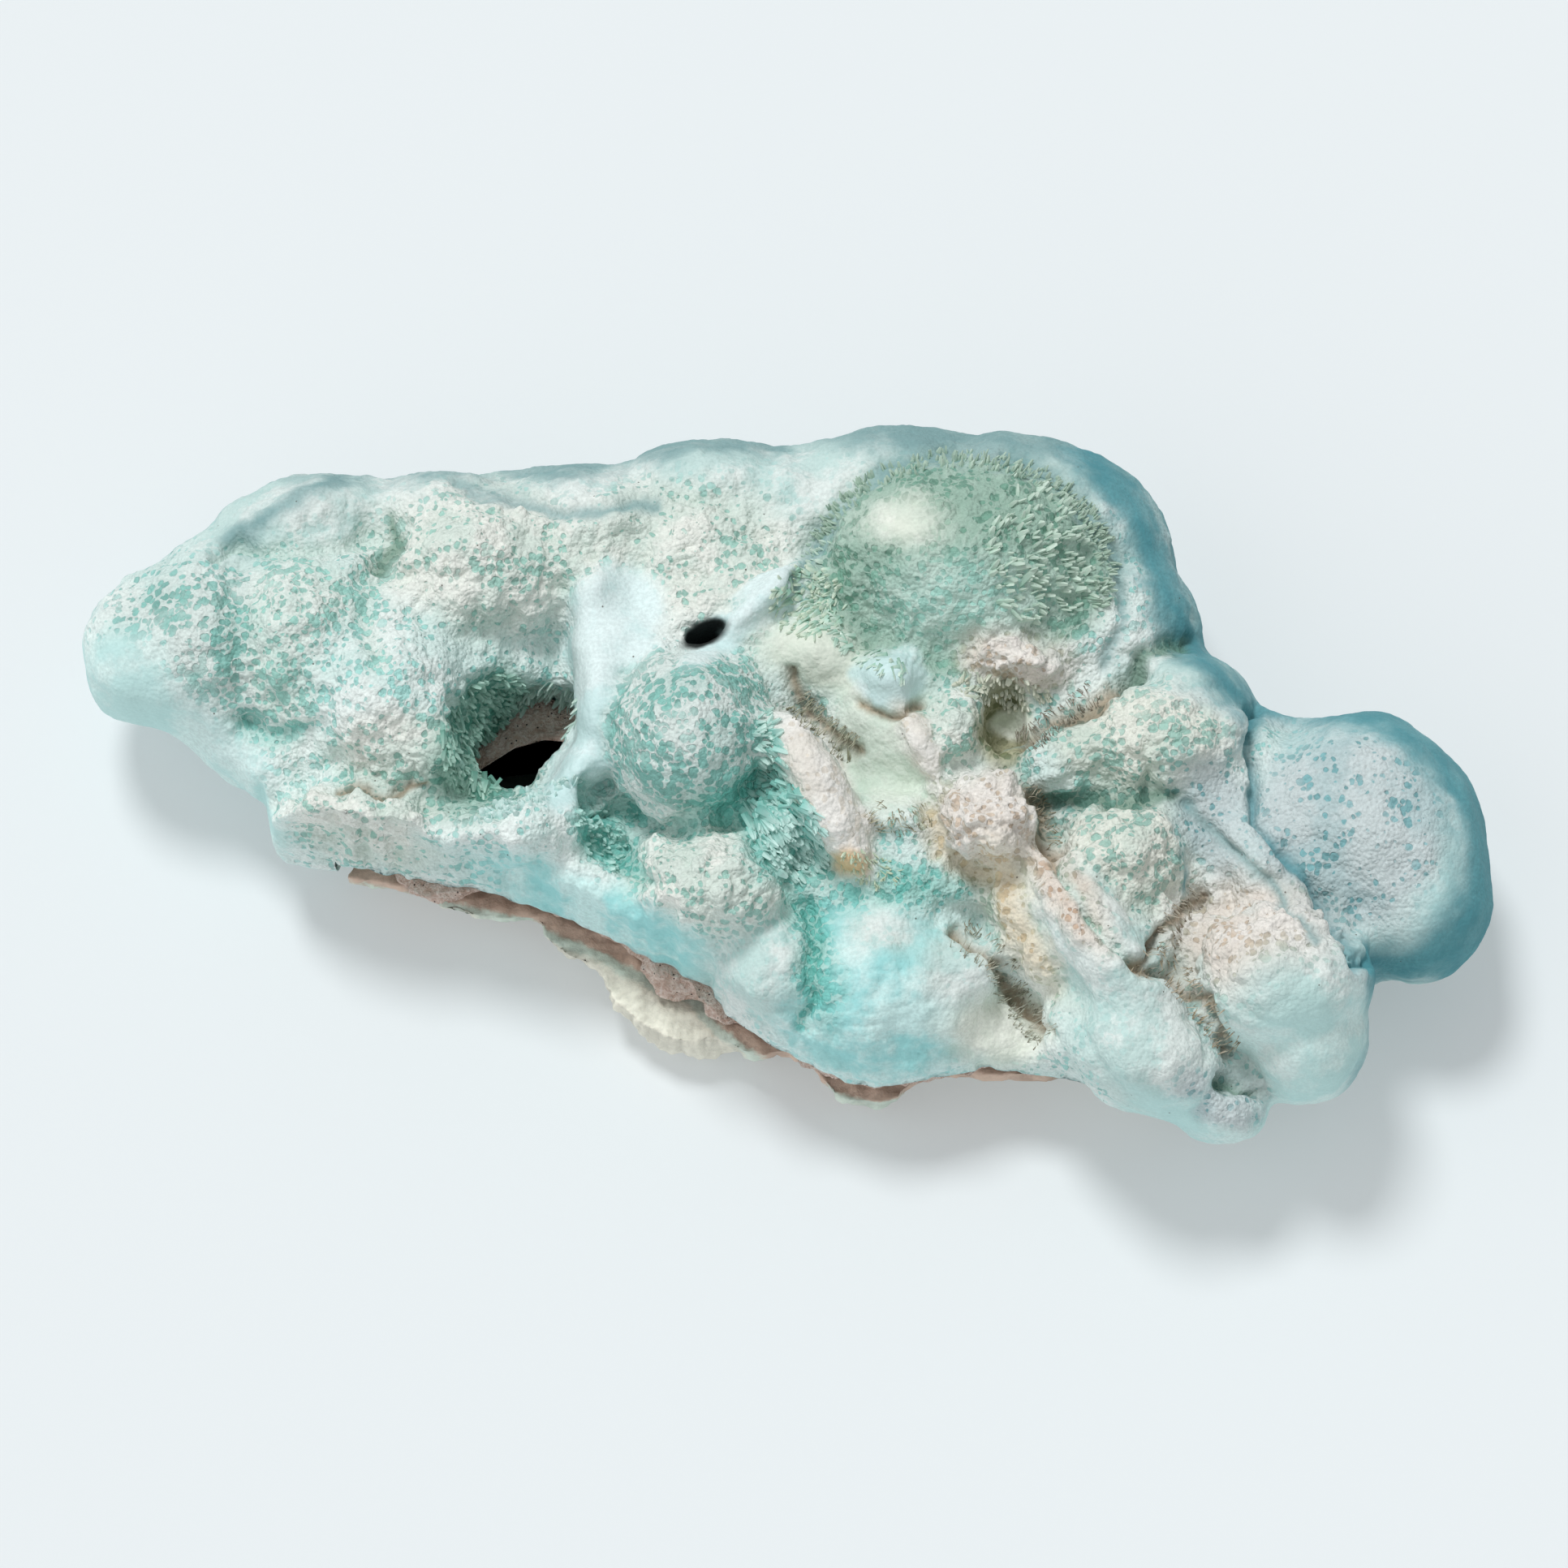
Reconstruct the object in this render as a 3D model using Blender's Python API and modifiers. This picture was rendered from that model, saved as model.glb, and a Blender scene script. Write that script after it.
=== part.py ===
"""Blue aragonite cabinet specimen: a lumpy blue-green crust on a thin sheet of
granular rock, with a paler crust on the underside. Metres, +Z up, resting on z = 0.

Every lump is placed as it is seen from the viewing side. In a lump's row, across and
up are millimetres to the right and up in that view, height is how far its centre
stands above the table, wide, tall and deep are its half sizes across, up and along
the line of sight, and turn is its counterclockwise angle in the view, in degrees.
"""

import math
import random
from collections import namedtuple

import bmesh
import bpy
from mathutils import Matrix, Vector

MM = 0.001
VIEW_ELEVATION = math.radians(65)

# Heights of the layers above the table, the gap that solids keep where they touch,
# and the wider one along the flat faces of the rock.
ROCK_BOTTOM = 8.6 * MM
ROCK_TOP = 12.2 * MM
CRUST_RIM_TOP = 16.0 * MM
CRUST_CORE_TOP = 21.0 * MM
TOUCH_GAP = 0.3 * MM
LAYER_GAP = 0.5 * MM

# Fineness of the fused solids, and the angle past which an edge is shaded sharp.
CRUST_VOXEL = 0.9 * MM
CRUST_FACES = 5900
ROCK_VOXEL = 0.8 * MM
ROCK_FACES = 900
UNDERSIDE_FACES = 1000
HOLLOW_VOXEL = 1.5 * MM
SHARP_ANGLE = math.radians(50)

Lump = namedtuple("Lump", "name across up height wide tall deep turn")

CRUST_LUMPS = [
    # broad swellings that fill the body between the lumps
    Lump("fill_left", -53, 13, 17, 24, 17, 15, 0),
    Lump("fill_left_end", -68, 17, 17, 16, 12.5, 15, 0),
    Lump("fill_back", -30, 27, 18, 34, 11, 15, 3),
    Lump("fill_back_middle", -8, 30, 18, 22, 10.5, 15, 0),
    Lump("fill_middle", -6, 12, 18, 22, 20, 14, 0),
    Lump("fill_front", 2, -17, 14, 24, 14, 13, -15),
    Lump("fill_front_left", -42, -4, 15, 22, 8, 11, -8),
    Lump("fill_centre", 17, 3, 17, 20, 18, 14, 0),
    Lump("fill_right", 46, -6, 17, 24, 19, 13, -25),
    Lump("fill_far", 60, -12, 16, 20, 16, 12, 0),
    # left end
    Lump("left_lobe", -71.1, 17.1, 19, 11.5, 12.2, 15, 0),
    Lump("left_tip", -79.1, 16.0, 18, 8.1, 9.2, 13, 0),
    Lump("left_shoulder", -59.4, 17.6, 22, 9.8, 11.2, 14, 0),
    Lump("left_collar", -53.6, 24.6, 23, 6.0, 4.5, 10, 0),
    Lump("left_foot", -63.1, 2.1, 15, 4.8, 4.5, 9, 0),
    # lobes along the back edge
    Lump("back_left", -59.8, 33.0, 18, 12.6, 5.4, 14, 12),
    Lump("back_left_fill", -60.0, 28.6, 18, 13.0, 5.0, 13, 6),
    Lump("back_second", -42.6, 34.1, 19, 11.5, 5.0, 14, 2),
    Lump("back_third", -25.6, 34.8, 19, 13.0, 4.8, 14, 3),
    Lump("back_fourth", -8.6, 37.0, 20, 12.5, 6.0, 14, -2),
    Lump("back_saddle", 1.4, 34.2, 20, 8.5, 8.0, 14, 0),
    # broad lobes behind the large hole
    Lump("middle_left", -37.6, 26.2, 21, 14.0, 10.5, 16, 0),
    Lump("middle_back", -22.6, 31.0, 22, 12.0, 7.0, 13, 0),
    Lump("middle_hollow", -10.6, 27.2, 21, 14.0, 9.0, 13, 0),
    # left front, with its ledge
    Lump("front_left", -48.6, 10.6, 23, 10.4, 10.6, 14, 0),
    Lump("front_left_knob", -44.2, 4.4, 23, 7.4, 6.6, 10, 0),
    Lump("ledge", -50.6, -5.2, 18, 12.5, 5.7, 13, -6),
    Lump("ledge_corner", -59.6, -6.4, 15, 4.6, 5.0, 9, 0),
    Lump("hole_rim", -32.6, -5.4, 19, 12.5, 5.4, 13, 8),
    # smooth web around the holes
    Lump("web_top", -23.2, 22.4, 25, 4.2, 6.4, 10, 8),
    Lump("web_waist", -20.8, 12.6, 24, 4.6, 9.4, 11, 0),
    Lump("web_foot", -23.4, 1.6, 21, 3.8, 6.0, 10, 20),
    Lump("web_arm", -16.0, 15.6, 24, 7.0, 3.4, 11, 0),
    Lump("web_ridge", -3.6, 21.8, 26, 10.0, 2.6, 11, 40),
    # the two honeycombed balls
    Lump("big_ball", -11.1, 5.6, 26, 10.9, 11.2, 18, 0),
    Lump("front_ball", -8.6, -12.6, 20, 11.0, 7.8, 17, 0),
    Lump("front_ball_skirt", -11.6, -18.9, 14, 10.5, 5.0, 12, -25),
    Lump("crystal_bank", -1.0, -5.4, 21, 6.4, 6.5, 12, 0),
    # fibrous front face
    Lump("face_left", -20.6, -13.0, 14, 12.0, 5.5, 11, -22),
    Lump("face_middle", 11.4, -24.4, 15, 16.0, 11.5, 14, 0),
    Lump("face_bumps", -0.6, -22.4, 16, 8.0, 8.5, 13, 0),
    Lump("face_blister", 12.4, -18.4, 20, 6.0, 4.6, 9, 0),
    Lump("face_top", 15.4, -11.4, 20, 11.0, 8.0, 11, 0),
    Lump("face_white", 21.9, -22.4, 19, 6.0, 5.0, 9, 0),
    Lump("face_corner", 24.4, -29.6, 13, 8.5, 5.4, 6, -8),
    # the vug with its two rods
    Lump("vug_rod", 4.2, -0.9, 31, 10.5, 3.6, 7, -61),
    Lump("vug_slope", 12.9, 6.6, 24, 6.0, 9.0, 10, 25),
    Lump("vug_short_rod", 16.7, 4.6, 31, 5.8, 2.3, 5, -65),
    Lump("vug_bead", 13.0, 13.1, 31, 4.1, 3.5, 7, 0),
    Lump("vug_cream", 4.4, 16.1, 25, 8.5, 5.5, 10, -10),
    Lump("vug_floor", 13.4, -4.4, 24, 7.5, 4.0, 9, 0),
    # the green dome in its shell
    Lump("dome", 21.6, 27.4, 25, 18.6, 14.2, 19, 0),
    Lump("shell_left", 14.4, 31.6, 20, 18.5, 13.0, 16, 0),
    Lump("shell_right", 30.2, 29.4, 20, 18.0, 14.0, 17, 0),
    Lump("shell_side", 36.0, 17.6, 18, 14.8, 15.5, 15, 0),
    # lumps between the dome and the right end
    Lump("overhang", 28.9, 15.1, 27, 6.5, 3.8, 10, -10),
    Lump("overhang_left", 20.9, 7.1, 27, 4.2, 4.8, 9, 0),
    Lump("right_crescent", 50.0, 11.6, 19, 8.8, 5.2, 14, -25),
    Lump("right_lobe", 45.9, 5.1, 24, 12.5, 7.5, 14, 0),
    Lump("right_lobe_left", 33.4, 2.6, 24, 6.5, 5.0, 11, 30),
    Lump("knob", 24.7, -4.4, 29, 7.2, 6.0, 12, 0),
    Lump("rough_lobe", 41.4, -9.4, 25, 8.2, 8.0, 13, 0),
    Lump("rough_tail", 45.0, -17.4, 21, 5.8, 8.0, 11, 20),
    # right end
    Lump("terrace", 60.0, -11.4, 17, 14.5, 6.6, 14, -48),
    Lump("terrace_foot", 67.4, -20.4, 16, 5.0, 5.0, 11, 0),
    Lump("end_lobe", 71.6, -5.2, 17, 14.4, 14.2, 16, 0),
    Lump("end_lobe_front", 76.2, -13.4, 16, 10.8, 10.6, 14, 0),
    Lump("right_ball", 60.2, -23.4, 24, 11.5, 9.7, 17, 0),
    Lump("right_ball_foot", 63.2, -30.0, 19, 8.2, 9.2, 14, 0),
    # the long finger at the right front
    Lump("finger", 40.2, -21.9, 26, 17.0, 5.8, 12, -55),
    Lump("finger_end", 43.7, -32.2, 20, 10.8, 7.8, 14, -30),
    Lump("finger_fill", 48.4, -26.0, 16, 7.0, 9.0, 12, 20),
    Lump("tan_ridge", 30.4, -18.4, 22, 11.0, 3.8, 9, -60),
    Lump("tan_ridge_end", 37.0, -29.4, 19, 6.0, 6.5, 10, -50),
    Lump("last_knob", 53.2, -39.6, 15, 5.4, 4.6, 10, 0),
]

# Hollows, cut straight down into the crust. Here tall is the half size from front to
# back and deep the half size up and down.
CRUST_HOLLOWS = [
    Lump("large_hole", -32.8, 5.2, 18, 7.0, 9.6, 24, 0),
    Lump("hole_funnel", -33.2, 11.4, 32, 8.0, 8.6, 8, 10),
    Lump("small_hole", -9.9, 18.8, 28, 3.6, 3.2, 12, 20),
    Lump("green_pit", 26.8, 6.6, 29, 3.2, 5.8, 12, -10),
    Lump("vug_trough", 7.0, 4.6, 31, 2.2, 8.5, 7, 38),
    Lump("knob_gap", 32.8, -6.0, 24, 1.4, 4.2, 9, -15),
]

# Corners of the body's outline, across and up as seen, at the height of the rock.
# The first list is the broken front edge, from left to right.
FRONT_EDGE = [
    (-62.8, -8.4),
    (-54.0, -10.4),
    (-45.0, -12.2),
    (-37.0, -13.6),
    (-29.0, -16.0),
    (-22.0, -19.2),
    (-16.0, -22.2),
    (-10.0, -24.4),
    (-7.0, -28.4),
    (-2.0, -32.2),
    (4.0, -35.4),
    (11.0, -37.8),
    (18.0, -36.4),
    (24.0, -35.2),
    (32.0, -35.8),
]
BACK_EDGE = [
    (43, -38.5),
    (52, -40),
    (57, -37),
    (64, -36),
    (69, -30),
    (71, -22.5),
    (78, -22),
    (83, -18),
    (84, -9),
    (80, 0),
    (73, 5),
    (62, 5),
    (55, 8),
    (49, 16),
    (44, 30),
    (36, 38),
    (22, 40),
    (6, 39),
    (-10, 38),
    (-30, 36),
    (-46, 35),
    (-58, 33),
    (-66, 28),
    (-76, 24),
    (-83, 15),
    (-76, 8),
    (-68, 4),
    (-61, -3.6),
]
# The thick core of the crust stands this far behind the broken edge.
CORE_SETBACK = 8
# The break turns the left corner, and runs well in front of its edge.
LEFT_CORNER = [(-90.0, -2.0), (-64.0, -3.4)]
BREAK_REACH = 40
BREAK_LOWEST = -30 * MM
BREAK_HIGHEST = 60 * MM

# Behind the front edge the rock stays inside the crust, which wraps round it.
ROCK_BACK_EDGE = [
    (54, -34),
    (62, -24),
    (72, -17),
    (74, -8),
    (66, -1),
    (48, 4),
    (40, 20),
    (30, 32),
    (8, 34),
    (-20, 31),
    (-44, 30),
    (-60, 24),
    (-66, 16),
    (-60, 10),
    (-52, -2),
]
ROCK_LUMPS = [
    Lump("front_bulge", -14.1, -23.8, 9.8, 4.2, 3.2, 3.4, -35),
    Lump("left_bulge", -43.6, -13.2, 10.4, 5.0, 2.0, 3.0, -5),
    Lump("edge_bulge", -8.4, -27.0, 10.4, 5.5, 1.8, 3.2, -52),
]
ROCK_HOLLOWS = [
    Lump("rock_gap", -33.4, -0.8, 10, 6.4, 4.6, 12, 12),
]

UNDERSIDE_LUMPS = [
    Lump("front_fan", -12.6, -25.6, 5.5, 9.4, 5.8, 7, -28),
    Lump("front_fan_tail", -4.0, -31.2, 6, 4.6, 2.6, 5, -20),
    Lump("corner_tongue", 10.0, -36.0, 6.6, 6.0, 4.2, 5, -12),
    Lump("left_lip", -35.6, -13.6, 7.2, 7.6, 3.0, 4, -8),
    Lump("middle_lip", -24.6, -18.6, 6.6, 5.0, 3.2, 5, -25),
    Lump("foot_front", 2.0, -19.0, 3.4, 15.0, 12.0, 8, 0),
    Lump("foot_left", -38.0, -1.0, 3.4, 14.0, 8.0, 8, 8),
    Lump("foot_left_back", -46.0, 17.0, 3.6, 12.0, 8.0, 8, 10),
    Lump("foot_middle", 0.0, 2.0, 3.4, 17.0, 12.0, 8, 0),
    Lump("foot_back", 6.0, 22.0, 3.6, 20.0, 9.0, 8, 0),
    Lump("foot_right", 34.0, -12.0, 3.4, 16.0, 13.0, 8, -20),
    Lump("foot_right_back", 30.0, 10.0, 3.6, 10.0, 8.0, 8, 0),
    Lump("foot_end", 56.0, -12.0, 3.6, 9.0, 7.0, 8, -10),
    Lump("foot_corner", 46.0, -25.0, 4.0, 6.0, 5.0, 7, -30),
]
# The underside crust stays this far inside the rim of the rock, and its sheet, which
# joins the feet and the pieces that show in front, stands further back.
UNDERSIDE_SETBACK = 1.5
SHEET_BOTTOM = 5.2 * MM
SHEET_SETBACK = 2.5

# Coarse crystals that stand out of the green dome, in rings round its crown.
CRYSTAL_RINGS = [(0.36, 11), (0.58, 19), (0.78, 26)]
CRYSTAL_LENGTH = 5.6 * MM
CRYSTAL_RADIUS = 1.7 * MM
CRYSTAL_TIP = 1.0 * MM
CRYSTAL_SIDES = 5


def view_axes():
    """Columns are across, up and towards the viewer, as world directions."""
    return Matrix.Rotation(math.pi / 2 - VIEW_ELEVATION, 3, "X")


def place(across, up, height):
    """World place of a point seen at across, up in the view and standing at height."""
    depth = (up - height * math.cos(VIEW_ELEVATION)) / math.sin(VIEW_ELEVATION)
    return Vector((across, depth, height)) * MM


def new_object(name, data):
    obj = bpy.data.objects.new(name, data)
    bpy.context.scene.collection.objects.link(obj)
    return obj


def put_in(obj, collection):
    for holder in list(obj.users_collection):
        holder.objects.unlink(obj)
    collection.objects.link(obj)
    return obj


def evaluated_mesh(obj):
    bpy.context.view_layer.update()
    graph = bpy.context.evaluated_depsgraph_get()
    return bpy.data.meshes.new_from_object(obj.evaluated_get(graph))


def settled(obj):
    """Turns an object's modifiers into plain mesh."""
    mesh = evaluated_mesh(obj)
    obj.modifiers.clear()
    obj.data = mesh
    return obj


def without_crumbs(obj):
    """Keeps the largest body of a solid and drops the chips that a cut left loose."""
    bm = bmesh.new()
    bm.from_mesh(obj.data)
    unvisited = set(bm.faces)
    bodies = []
    while unvisited:
        body = set()
        edge = {unvisited.pop()}
        while edge:
            body |= edge
            edge = {near for face in edge for side in face.edges for near in side.link_faces}
            edge -= body
        unvisited -= body
        bodies.append(body)
    largest = max(bodies, key=len)
    chips = [face for body in bodies if body is not largest for face in body]
    bmesh.ops.delete(bm, geom=chips, context="FACES")
    bm.to_mesh(obj.data)
    bm.free()
    return obj


def add_modifier(obj, kind, **settings):
    modifier = obj.modifiers.new(kind.title(), kind)
    for key, value in settings.items():
        setattr(modifier, key, value)
    return modifier


def add_lumps(bm, lumps, axes):
    """Adds every lump to a mesh in the making, as a stretched sphere of its own."""
    for lump in lumps:
        turn = Matrix.Rotation(math.radians(lump.turn), 3, "Z")
        sizes = Matrix.Diagonal((lump.wide * MM, lump.tall * MM, lump.deep * MM))
        shape = (axes @ turn @ sizes).to_4x4()
        shape.translation = place(lump.across, lump.up, lump.height)
        bmesh.ops.create_icosphere(bm, subdivisions=4, radius=1, matrix=shape)


def add_plate(bm, outline, bottom, top):
    """Adds an upright slab over an outline read off the view at the rock's height."""
    curve = bpy.data.curves.new("outline", "CURVE")
    curve.dimensions = "2D"
    curve.fill_mode = "BOTH"
    curve.extrude = (top - bottom) / 2
    spline = curve.splines.new("POLY")
    spline.points.add(len(outline) - 1)
    for point, (across, up) in zip(spline.points, outline):
        corner = place(across, up, ROCK_TOP / MM)
        point.co = (corner.x, corner.y, 0, 1)
    spline.use_cyclic_u = True
    flat = new_object("outline", curve)
    flat.location.z = (top + bottom) / 2
    mesh = evaluated_mesh(flat)
    mesh.transform(flat.matrix_world)
    bpy.data.objects.remove(flat)
    bm.from_mesh(mesh)
    bmesh.ops.remove_doubles(bm, verts=bm.verts, dist=0.001 * MM)
    bmesh.ops.recalc_face_normals(bm, faces=bm.faces)


def as_object(name, bm):
    mesh = bpy.data.meshes.new(name)
    bm.to_mesh(mesh)
    bm.free()
    return new_object(name, mesh)


def cutter(obj, collection):
    """Hides a cutter from the render and keeps it in its own collection."""
    obj.hide_render = True
    obj.display_type = "WIRE"
    return put_in(obj, collection)


def combine(obj, other, operation):
    """Cuts or joins two closed skins. The exact solver leaves open edges on these."""
    add_modifier(obj, "BOOLEAN", operation=operation, object=other, solver="MANIFOLD")


def plate(name, outline, bottom, top, cutters):
    bm = bmesh.new()
    add_plate(bm, outline, bottom, top)
    return cutter(as_object(name, bm), cutters)


def hollows(name, lumps, cutters):
    """One cutter for several hollows, which may run into each other."""
    bm = bmesh.new()
    add_lumps(bm, lumps, Matrix.Identity(3))
    room = as_object(name, bm)
    add_modifier(room, "REMESH", mode="VOXEL", voxel_size=HOLLOW_VOXEL)
    return cutter(settled(room), cutters)


def fused(obj, voxel, smoothing, faces, grain=None, grain_strength=0.0):
    """Fuses overlapping shapes into one skin, rounds its creases and thins it out."""
    add_modifier(obj, "REMESH", mode="VOXEL", voxel_size=voxel)
    add_modifier(obj, "SMOOTH", factor=0.5, iterations=smoothing)
    if grain:
        add_modifier(obj, "DISPLACE", texture=grain, strength=grain_strength,
                     texture_coords="GLOBAL", mid_level=0.5)
    settled(obj)
    ratio = min(1.0, faces / (2 * len(obj.data.polygons)))
    add_modifier(obj, "DECIMATE", ratio=ratio)
    return settled(obj)


def rolling_texture(name, size):
    texture = bpy.data.textures.new(name, "CLOUDS")
    texture.noise_scale = size
    texture.noise_depth = 1
    return texture


def finished(obj, color, roughness, collection):
    """Gives a solid its material and smooth shading, and files it with the specimen."""
    material = bpy.data.materials.new(obj.name)
    material.use_nodes = True
    shader = material.node_tree.nodes["Principled BSDF"]
    shader.inputs["Base Color"].default_value = (*color, 1)
    shader.inputs["Roughness"].default_value = roughness
    shader.inputs["Metallic"].default_value = 0.0
    obj.data.materials.clear()
    obj.data.materials.append(material)
    obj.data.shade_smooth()
    obj.data.set_sharp_from_angle(angle=SHARP_ANGLE)
    return put_in(obj, collection)


def shifted(outline, across, up):
    return [(x + across, y + up) for x, y in outline]


def drawn_in(outline, setback):
    """The same outline pulled towards its middle by a setback."""
    middle = sum((Vector(corner) for corner in outline), Vector((0, 0))) / len(outline)
    corners = []
    for corner in outline:
        away = Vector(corner) - middle
        corners.append(tuple(middle + away * (1 - setback / away.length)))
    return corners


def swollen(obj, cutters):
    """A copy of a finished solid, larger by the touching gap on every side."""
    bigger = new_object(obj.name + "_room", obj.data.copy())
    add_modifier(bigger, "DISPLACE", strength=TOUCH_GAP, mid_level=0.0)
    return cutter(settled(bigger), cutters)


def dome_crystals(cutters):
    """Tapering crystals that radiate from the dome, as seen, in two rings."""
    bm = bmesh.new()
    chance = random.Random(4)
    dome = next(lump for lump in CRUST_LUMPS if lump.name == "dome")
    axes = view_axes()
    centre = place(dome.across, dome.up, dome.height)
    sizes = Matrix.Diagonal((dome.wide * MM, dome.tall * MM, dome.deep * MM))
    for spread, count in CRYSTAL_RINGS:
        for index in range(count):
            around = 2 * math.pi * (index + 0.5 * chance.random()) / count
            tilt = math.radians(90) * (spread + 0.06 * chance.random())
            flat = Vector((math.cos(around), math.sin(around), 0)) * math.sin(tilt)
            direction = flat + Vector((0, 0, math.cos(tilt)))
            foot = centre + axes @ sizes @ direction
            outward = (axes @ (direction + 0.8 * flat)).normalized()
            length = CRYSTAL_LENGTH * (0.75 + 0.5 * chance.random())
            shape = outward.to_track_quat("Z", "Y").to_matrix().to_4x4()
            shape.translation = foot + outward * length * 0.08
            bmesh.ops.create_cone(bm, cap_ends=True, segments=CRYSTAL_SIDES, depth=length,
                                  radius1=CRYSTAL_RADIUS, radius2=CRYSTAL_TIP, matrix=shape)
    return cutter(as_object("dome_crystals", bm), cutters)


def make_rock(cutters):
    bm = bmesh.new()
    add_plate(bm, FRONT_EDGE + ROCK_BACK_EDGE, ROCK_BOTTOM, ROCK_TOP)
    add_lumps(bm, ROCK_LUMPS, view_axes())
    rock = as_object("matrix_rock", bm)
    fused(rock, ROCK_VOXEL, 2, ROCK_FACES)
    combine(rock, hollows("rock_hollows", ROCK_HOLLOWS, cutters), "DIFFERENCE")
    return settled(rock)


def make_crust(rock_room, cutters):
    bm = bmesh.new()
    add_plate(bm, FRONT_EDGE + BACK_EDGE, ROCK_BOTTOM, CRUST_RIM_TOP)
    add_plate(bm, shifted(FRONT_EDGE, 0, CORE_SETBACK) + BACK_EDGE, ROCK_TOP, CRUST_CORE_TOP)
    add_lumps(bm, CRUST_LUMPS, view_axes())
    crust = as_object("aragonite_crust", bm)
    add_modifier(crust, "REMESH", mode="VOXEL", voxel_size=CRUST_VOXEL)
    combine(crust, hollows("crust_hollows", CRUST_HOLLOWS, cutters), "DIFFERENCE")
    settled(crust)
    fused(crust, CRUST_VOXEL, 3, CRUST_FACES, rolling_texture("rolling", 7 * MM), 1.6 * MM)
    combine(crust, dome_crystals(cutters), "UNION")
    edge = LEFT_CORNER + FRONT_EDGE
    below = [(across, up - BREAK_REACH) for across, up in reversed(edge)]
    front_break = plate("front_break", edge + below, BREAK_LOWEST, BREAK_HIGHEST, cutters)
    combine(crust, front_break, "DIFFERENCE")
    under_rock = plate("under_rock", FRONT_EDGE + ROCK_BACK_EDGE, BREAK_LOWEST,
                       ROCK_TOP + LAYER_GAP, cutters)
    combine(crust, under_rock, "DIFFERENCE")
    combine(crust, rock_room, "DIFFERENCE")
    return without_crumbs(settled(crust))


def make_underside(rock_room, cutters):
    bm = bmesh.new()
    sheet_edge = drawn_in(FRONT_EDGE + ROCK_BACK_EDGE, SHEET_SETBACK)
    add_plate(bm, sheet_edge, SHEET_BOTTOM, ROCK_TOP)
    add_lumps(bm, UNDERSIDE_LUMPS, view_axes())
    underside = as_object("underside_crust", bm)
    fused(underside, CRUST_VOXEL, 4, UNDERSIDE_FACES, rolling_texture("low", 6 * MM), MM)
    front = shifted(FRONT_EDGE, 0, -BREAK_REACH / 2)
    back = drawn_in(ROCK_BACK_EDGE, UNDERSIDE_SETBACK)
    room = plate("underside_room", front + back, 0, ROCK_BOTTOM - LAYER_GAP, cutters)
    combine(underside, room, "INTERSECT")
    combine(underside, rock_room, "DIFFERENCE")
    return without_crumbs(settled(underside))


def main():
    for old in list(bpy.data.objects):
        bpy.data.objects.remove(old)
    specimen = bpy.data.collections.new("blue_aragonite")
    cutters = bpy.data.collections.new("cutters")
    bpy.context.scene.collection.children.link(specimen)
    bpy.context.scene.collection.children.link(cutters)
    rock = make_rock(cutters)
    rock_room = swollen(rock, cutters)
    crust = make_crust(rock_room, cutters)
    underside = make_underside(rock_room, cutters)
    finished(crust, (0.50, 0.74, 0.70), 0.6, specimen)
    finished(rock, (0.38, 0.23, 0.17), 0.9, specimen)
    finished(underside, (0.62, 0.66, 0.52), 0.7, specimen)


main()
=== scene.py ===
import math
import random

import bpy
import numpy as np
from mathutils import Matrix, Vector
from mathutils.bvhtree import BVHTree
from mathutils.kdtree import KDTree


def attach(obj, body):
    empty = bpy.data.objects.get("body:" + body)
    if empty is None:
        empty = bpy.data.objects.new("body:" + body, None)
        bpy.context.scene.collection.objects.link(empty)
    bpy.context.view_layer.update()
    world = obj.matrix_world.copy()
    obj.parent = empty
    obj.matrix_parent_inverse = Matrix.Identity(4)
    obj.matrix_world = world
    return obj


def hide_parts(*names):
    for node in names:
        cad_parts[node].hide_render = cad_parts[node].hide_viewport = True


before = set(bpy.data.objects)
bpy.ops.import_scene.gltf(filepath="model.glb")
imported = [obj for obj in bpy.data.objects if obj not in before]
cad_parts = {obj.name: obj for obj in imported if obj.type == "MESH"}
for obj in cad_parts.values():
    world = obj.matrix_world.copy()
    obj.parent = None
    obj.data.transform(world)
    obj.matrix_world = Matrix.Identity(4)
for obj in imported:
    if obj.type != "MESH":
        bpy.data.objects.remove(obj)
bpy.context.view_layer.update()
mm = 0.001

# How the specimen is seen. Places on it are given as across and up in this view,
# in mm from the middle of the picture, with the height above the table.
photoView = {
    "elevation": math.radians(65),
    "distance": 1.2,
    "width": 0.1932,
    "aimHeight": 18,
}

sinView = math.sin(photoView["elevation"])
cosView = math.cos(photoView["elevation"])
viewAxes = Matrix.Rotation(math.pi / 2 - photoView["elevation"], 3, "X")
fine = 1.0


def placeSeen(across, up, height):
    return Vector((across, (up - height * cosView) / sinView, height)) * mm


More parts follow.
